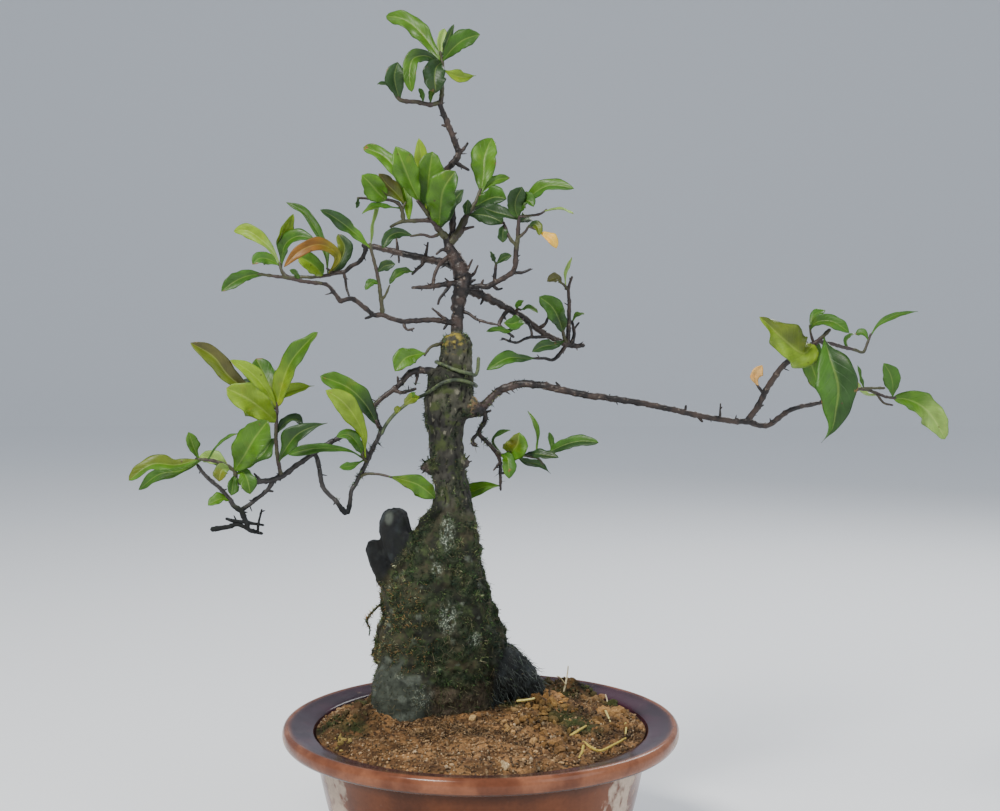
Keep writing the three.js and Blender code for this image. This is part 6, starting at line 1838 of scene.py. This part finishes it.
class Look:
    """A material put together from recipes, whose inputs are numbers, colours or the outputs of others."""

    def __init__(self, name, roughness, specular=0.5):
        self.material = bpy.data.materials.new(name)
        self.material.use_nodes = True
        self.nodes = self.material.node_tree.nodes
        self.links = self.material.node_tree.links
        self.shader = self.nodes["Principled BSDF"]
        self.shader.inputs["Roughness"].default_value = roughness
        self.shader.inputs["Specular IOR Level"].default_value = specular

    def put(self, socket, value):
        if isinstance(value, bpy.types.NodeSocket):
            self.links.new(value, socket)
        elif socket.type == "RGBA":
            socket.default_value = (*value, 1)
        else:
            socket.default_value = value

    def node(self, kind, inputs, output=0, **settings):
        """A new shader node's output."""
        made = self.nodes.new("ShaderNode" + kind)
        for key, setting in settings.items():
            setattr(made, key, setting)
        for key, value in inputs.items():
            self.put(made.inputs[key], value)
        return made.outputs[output]

    def kept(self, name, output="Fac"):
        """A number or colour kept on the points of the mesh."""
        return self.node("Attribute", {}, output, attribute_name=name)

    def noise(self, reach, detail=2.0, stretch=(1, 1, 1), seed=0.0):
        """Noise from 0 to 1 with lumps of the given reach in millimetres."""
        place = self.node("TexCoord", {}, "Object")
        moved = self.node("Mapping", {"Vector": place, "Scale": stretch, "Location": (seed, seed * 0.7, 0)})
        return self.node("TexNoise", {"Vector": moved, "Scale": 1000 / reach, "Detail": detail})

    def cells(self, reach, seed=0.0):
        """The distance to the nearest of scattered points, from 0 up."""
        place = self.node("TexCoord", {}, "Object")
        moved = self.node("Mapping", {"Vector": place, "Location": (seed, 0, seed)})
        return self.node("TexVoronoi", {"Vector": moved, "Scale": 1000 / reach}, "Distance")

    def ramp(self, value, start, end, low, high, way="LINEAR"):
        """From low to high while the value goes from start to end, and level on both sides."""
        ends = {"From Min": start, "From Max": end, "To Min": low, "To Max": high}
        return self.node("MapRange", {"Value": value, **ends}, interpolation_type=way)

    def ease(self, value, start, end):
        """0 below start and 1 above end, smooth between them."""
        return self.ramp(value, start, end, 0, 1, "SMOOTHSTEP")

    def math(self, way, *values):
        return self.node("Math", dict(enumerate(values)), operation=way)

    def times(self, one, other):
        return self.math("MULTIPLY", one, other)

    def plus(self, one, other):
        return self.math("ADD", one, other)

    def blend(self, share, one, other, way="MIX"):
        """From the first colour to the other by the share."""
        return self.node("Mix", {0: share, 6: one, 7: other}, 2, data_type="RGBA", blend_type=way)

    def patches(self, value, start, end, one, other):
        """From the first colour to the other where the value goes from start to end."""
        return self.blend(self.ease(value, start, end), one, other)

    def filtered(self, colour, by):
        """A colour seen through another one."""
        return self.blend(1.0, colour, by, "MULTIPLY")

    def grey(self, value):
        return self.node("CombineColor", {"Red": value, "Green": value, "Blue": value})

    def uneven(self, colour, value, low, high):
        """The colour darkened and lightened between low and high by a value from 0 to 1."""
        return self.filtered(colour, self.grey(self.ramp(value, 0.25, 0.75, low, high)))

    def finish(self, colour, height=None, depth=0.3, strength=0.5, roughness=None):
        """Colours the shader, and raises the skin by a height from 0 to 1 over a depth in millimetres."""
        self.put(self.shader.inputs["Base Color"], colour)
        if roughness is not None:
            self.put(self.shader.inputs["Roughness"], roughness)
        if height is not None:
            bump = self.node("Bump", {"Height": height, "Distance": depth * MM, "Strength": strength})
            self.links.new(bump, self.shader.inputs["Normal"])
        return self.material


def old_bark(look, coarse, fine, streaks):
    """The grey bark of the upper stump, with patches, a tawny crown, a burl whose pale beige patches are
    partly its own orange-beige wood and partly painted highlight, and cracks and hollows darkened as painted
    shade.
    """
    skin = look.patches(coarse, 0.35, 0.65, tone(38, 38, 32), tone(74, 73, 60))
    skin = look.blend(look.times(look.kept("middle"), 0.6), skin, tone(40, 38, 37))
    skin = look.uneven(skin, streaks, 0.45, 1.5)
    skin = look.patches(look.noise(9, 4, seed=12), 0.5, 0.64, skin, tone(56, 64, 34))
    skin = look.patches(look.noise(3.4, 5, (1, 1, 0.6), seed=3), 0.6, 0.7, skin, tone(104, 101, 86))
    crown = look.times(look.kept("crown"), look.ease(look.noise(5, 4, seed=15), 0.48, 0.62))
    skin = look.blend(crown, skin, look.uneven(tone(138, 124, 52), fine, 0.5, 1.3))
    # The burl's pale beige: partly its own orange-beige wood, partly painted highlight on its bumps.
    skin = look.blend(look.times(look.kept("burl"), look.ease(fine, 0.42, 0.6)), skin, tone(176, 140, 96))
    # Painted shade: the cracks and hollows of the bark darken to near black.
    return look.patches(look.kept("hollow"), 0.05, 0.6, skin, tone(18, 16, 12))


def low_bark(look, coarse, fine):
    """The dark skin under the moss, with green and grey patches."""
    skin = look.patches(coarse, 0.4, 0.62, tone(28, 29, 20), tone(60, 56, 38))
    skin = look.patches(look.noise(7, 4, seed=5), 0.5, 0.66, skin, tone(50, 60, 32))
    skin = look.patches(look.noise(11, 4, seed=6), 0.6, 0.7, skin, tone(92, 98, 86))
    return look.uneven(skin, fine, 0.5, 1.35)


def bulge_skin(look, fine, grain):
    """The bare grey skin of the bulge, with lighter patches."""
    skin = look.uneven(tone(54, 59, 50), look.noise(8, 4, seed=7), 0.45, 1.4)
    skin = look.uneven(skin, fine, 0.65, 1.3)
    share = look.times(look.ease(look.noise(9, 4, seed=8), 0.5, 0.64), 0.7)
    return look.blend(share, skin, look.uneven(tone(84, 90, 80), grain, 0.6, 1.3))


def lichen_skin(look, fine, grain):
    """Crusty lichen with pale grains."""
    skin = look.uneven(tone(66, 74, 62), fine, 0.5, 1.3)
    return look.patches(grain, 0.51, 0.58, skin, tone(142, 149, 132))


def sawn_wood(look, streaks):
    """The blackened wood of the sawn stubs and the right root."""
    skin = look.patches(look.noise(14, 3, seed=9), 0.5, 0.75, tone(15, 17, 20), tone(42, 47, 50))
    return look.uneven(skin, streaks, 0.5, 1.6)


def young_bark(look, fine, streaks):
    """The brown bark of the twigs, duller on those low at the left."""
    skin = look.patches(look.noise(9, 3, seed=10), 0.4, 0.62, tone(28, 25, 25), tone(60, 49, 44))
    skin = look.patches(look.noise(4, 3, seed=11), 0.62, 0.76, skin, tone(116, 104, 92))
    skin = look.uneven(skin, streaks, 0.7, 1.25)
    return look.patches(look.kept("low_twig"), 0, 1, skin, look.uneven(tone(52, 49, 48), fine, 0.5, 1.25))


def bark_material():
    look = Look("bark", 0.82, 0.3)
    twig = look.kept("twig")
    coarse = look.noise(16, 4)
    fine = look.noise(3.2, 5, seed=1)
    grain = look.noise(1.1, 4, seed=14)
    streaks = look.noise(4.5, 4, (1, 1, 0.25), seed=2)
    crusts = look.ease(look.noise(2.6, 3, (1, 1, 0.6), seed=13), 0.42, 0.52)
    skin = look.blend(look.kept("low"), old_bark(look, coarse, fine, streaks), low_bark(look, coarse, fine))
    for share, over in (
        (look.kept("moss"), look.uneven(tone(38, 47, 28), fine, 0.45, 1.4)),
        (look.kept("bare"), bulge_skin(look, fine, grain)),
        (look.times(look.kept("mat"), 0.85), look.uneven(tone(84, 72, 59), fine, 0.45, 1.4)),
        (look.times(look.kept("lichen"), crusts), lichen_skin(look, fine, grain)),
        (look.times(look.kept("stub"), 0.9), sawn_wood(look, streaks)),
        (look.times(look.kept("facet"), 0.7), look.uneven(tone(82, 88, 80), fine, 0.6, 1.25)),
        (twig, young_bark(look, fine, streaks)),
    ):
        skin = look.blend(share, skin, over)
    height = look.plus(look.plus(fine, look.times(streaks, 0.6)), look.times(grain, 0.4))
    return look.finish(skin, height, 0.7, 0.7, look.plus(0.85, look.times(twig, -0.43)))


def shoot_material():
    look = Look("green_shoot", 0.55)
    colour = look.patches(look.noise(12, 2), 0.4, 0.6, tone(56, 56, 28), tone(52, 38, 34))
    return look.finish(look.uneven(colour, look.noise(2.5, 3), 0.75, 1.25), look.noise(1.5), 0.2, 0.4)


def moss_material():
    look = Look("moss", 0.9, 0.25)
    tint = look.kept("tint", "Color")
    # Darker at the foot and lighter at the tip: partly the strands' own paler tips, partly painted shade at
    # their feet.
    return look.finish(look.uneven(tint, look.kept("tip"), 0.75, 1.5))


def green_blade(look, blotches):
    """The leaf's own tint, blotched and yellowed in places."""
    colour = look.uneven(look.kept("tint", "Color"), blotches, 0.7, 1.3)
    yellowing = look.ease(look.noise(14, 2, seed=2), 0.58, 0.72)
    return look.blend(look.times(yellowing, 0.6), colour, look.filtered(colour, (1.7, 1.15, 0.55)))


def veined(look, colour, side_veins, rib):
    """The colour with paler side veins and a pale rib."""
    pale = look.filtered(colour, (1.75, 1.55, 1.9))
    colour = look.blend(look.times(side_veins, 0.16), colour, pale)
    return look.blend(look.times(rib, 0.5), colour, look.blend(0.4, pale, tone(150, 165, 80)))


def withered(look, colour, across, along, fine):
    """The colour with a darker edge, dry brown patches at the edge and the tip, and spots."""
    edge = look.ease(across, 0.86, 1.0)
    colour = look.blend(look.times(edge, 0.6), colour, look.filtered(colour, (0.5, 0.62, 0.8)))
    reach = look.plus(look.times(edge, 0.12), look.times(look.ease(along, 0.86, 1.0), 0.12))
    dry = look.plus(look.noise(6, 3, seed=3), reach)
    colour = look.patches(dry, 0.74, 0.8, colour, look.uneven(tone(120, 84, 44), fine, 0.6, 1.3))
    spots = look.ramp(look.cells(7.5, 3.0), 0.07, 0.12, 1, 0)
    spotted = look.times(spots, look.ease(look.noise(22, 1, seed=4), 0.5, 0.56))
    return look.blend(look.times(spotted, 0.8), colour, tone(66, 46, 26))


def leaf_material():
    look = Look("leaf", 0.4, 0.35)
    place = look.node("SeparateXYZ", {"Vector": look.kept("leaf_place", "Vector")}, "X").node
    across = look.math("ABSOLUTE", place.outputs["X"])
    along, under = place.outputs["Y"], place.outputs["Z"]
    blotches = look.noise(9, 3)
    fine = look.noise(1.8, 3, seed=1)
    ladder = look.plus(look.times(along, 62.0), look.times(across, -13.0))
    side_veins = look.ease(look.math("SINE", ladder), 0.72, 1.0)
    rib = look.ramp(across, 0.02, 0.09, 1, 0, "SMOOTHSTEP")
    colour = veined(look, green_blade(look, blotches), side_veins, rib)
    colour = withered(look, colour, across, along, fine)
    matte = look.blend(0.5, colour, tone(150, 170, 118))
    colour = look.blend(look.times(under, 0.75), colour, matte)
    height = look.plus(look.times(look.plus(side_veins, rib), -0.5), look.times(fine, 0.35))
    rough = look.plus(look.times(under, 0.25), look.ramp(blotches, 0, 1, 0.32, 0.58))
    return look.finish(colour, height, 0.35, 0.5, rough)


def tie_material():
    look = Look("tie", 0.6)
    colour = look.patches(look.noise(6, 3), 0.4, 0.6, tone(36, 46, 30), tone(78, 90, 54))
    colour = look.uneven(colour, look.noise(1.6, 3, seed=1), 0.6, 1.3)
    return look.finish(colour, look.noise(0.9, 2, seed=2), 0.3, 0.6)


def glaze_material():
    look = Look("glaze", 0.2, 0.22)
    inside, lip, under, worn = (look.kept(name) for name in ("inside", "lip", "under", "worn"))
    cloud = look.noise(38, 4)
    speckle = look.noise(2.2, 3, seed=1)
    wall = look.patches(cloud, 0.3, 0.7, tone(114, 64, 37), tone(84, 46, 27))
    rim = look.patches(cloud, 0.4, 0.6, tone(58, 29, 42), tone(38, 18, 29))
    edge = look.patches(look.noise(30, 3, seed=4), 0.4, 0.6, tone(130, 82, 58), tone(98, 57, 39))
    colour = look.blend(inside, look.blend(lip, wall, edge), rim)
    # Painted shade: the wall darkens just under the overhanging lip.
    colour = look.blend(look.times(under, 0.8), colour, tone(50, 28, 18))
    colour = look.uneven(colour, speckle, 0.88, 1.12)
    # The whitish patches on the wall and the lip, paler and rougher than the rest of the glaze.
    patchy = look.ease(look.plus(look.times(worn, 0.55), look.noise(9, 5, seed=2)), 0.8, 1.0)
    colour = look.blend(look.times(patchy, 0.8), colour, look.uneven(tone(200, 182, 162), speckle, 0.8, 1.1))
    dust = look.ease(look.plus(look.times(inside, 0.06), look.noise(5, 4, seed=5)), 0.68, 0.8)
    colour = look.blend(look.times(dust, 0.25), colour, tone(140, 116, 96))
    rough = look.plus(0.12, look.plus(look.times(patchy, 0.4), look.times(look.noise(12, 3, seed=3), 0.16)))
    return look.finish(colour, look.plus(cloud, look.times(speckle, 0.12)), 0.8, 0.25, rough)


def soil_material():
    look = Look("soil", 0.95, 0.2)
    colour = look.patches(look.noise(12, 4), 0.4, 0.62, tone(92, 66, 42), tone(138, 102, 64))
    colour = look.patches(look.noise(3, 4, seed=1), 0.52, 0.66, colour, tone(58, 41, 27))
    green = look.times(look.kept("green"), look.ease(look.noise(8, 4, seed=2), 0.36, 0.5))
    colour = look.blend(green, colour, look.uneven(tone(52, 58, 30), look.noise(2, 3, seed=4), 0.5, 1.4))
    colour = look.uneven(colour, look.noise(1.6, 3, seed=3), 0.5, 1.4)
    colour = look.filtered(colour, look.grey(look.kept("shade")))
    return look.finish(colour, look.noise(1.5, 4), 1.0, 0.9)


def grain_material():
    look = Look("grain", 0.92, 0.25)
    tint = look.kept("tint", "Color")
    return look.finish(look.uneven(tint, look.noise(1.1, 3), 0.6, 1.35), look.noise(0.8, 3), 0.4, 0.7)


def floor_material():
    return Look("floor", 0.7, 0.2).finish((0.88, 0.89, 0.90))


# The stage.


def build_floor():
    """A plain pale floor that sweeps up behind the object."""
    route = np.array([[behind, up, 0] for behind, up in FLOOR_PROFILE], float)
    dense = curve(route, np.linspace(0, len(route) - 1, 60))
    points = [[side * FLOOR_HALF_WIDTH, behind * 1000, up * 1000 - FLOOR_GAP]
              for behind, up, _ in dense for side in (-1, 1)]
    faces = [[2 * k, 2 * k + 1, 2 * k + 3, 2 * k + 2] for k in range(len(dense) - 1)]
    floor = make_object("floor", points, faces)
    floor.data.polygons.foreach_set("use_smooth", [True] * len(faces))
    floor.data.materials.append(floor_material())


def add_light(name, place, target, size, power, colour=(1, 1, 1)):
    """A round soft light that shines from its place at the target."""
    lamp = bpy.data.lights.new(name, "AREA")
    lamp.energy = power
    lamp.color = colour
    lamp.shape = "DISK"
    lamp.size = size
    light = bpy.data.objects.new(name, lamp)
    light.location = place
    light.rotation_euler = (Vector(target) - Vector(place)).to_track_quat("-Z", "Y").to_euler()
    bpy.context.scene.collection.objects.link(light)


def build_lights():
    """The soft studio light: a bluish surrounding, a key, a fill and a light from behind."""
    world = bpy.data.worlds.new("studio")
    world.use_nodes = True
    surrounding = world.node_tree.nodes["Background"].inputs
    surrounding["Color"].default_value = (0.80, 0.88, 1.0, 1)
    surrounding["Strength"].default_value = 0.55
    bpy.context.scene.world = world
    add_light("key", (-0.9, -1.3, 1.9), (0, 0, 0.33), 0.6, 66, (1.0, 0.97, 0.92))
    add_light("fill", (1.5, -1.2, 0.9), (0, 0, 0.3), 1.4, 14, (0.92, 0.96, 1.0))
    add_light("rim", (0.9, 1.3, 1.5), (0, 0, 0.35), 0.9, 20)


def build_camera():
    """The camera at the photo's viewpoint."""
    lens = bpy.data.cameras.new("camera")
    lens.lens = CAMERA_LENS
    lens.sensor_width = CAMERA_SENSOR
    camera = bpy.data.objects.new("camera", lens)
    camera.location = VIEWPOINT * MM
    camera.rotation_euler = (math.radians(CAMERA_TILT), 0, 0)
    bpy.context.scene.collection.objects.link(camera)
    bpy.context.scene.camera = camera


tree = build_wood()
build_moss(tree)
build_hairs(tree)
build_sprays()
build_tie()
build_pot()
build_soil()
build_grains()
build_litter()
build_floor()
build_lights()
build_camera()
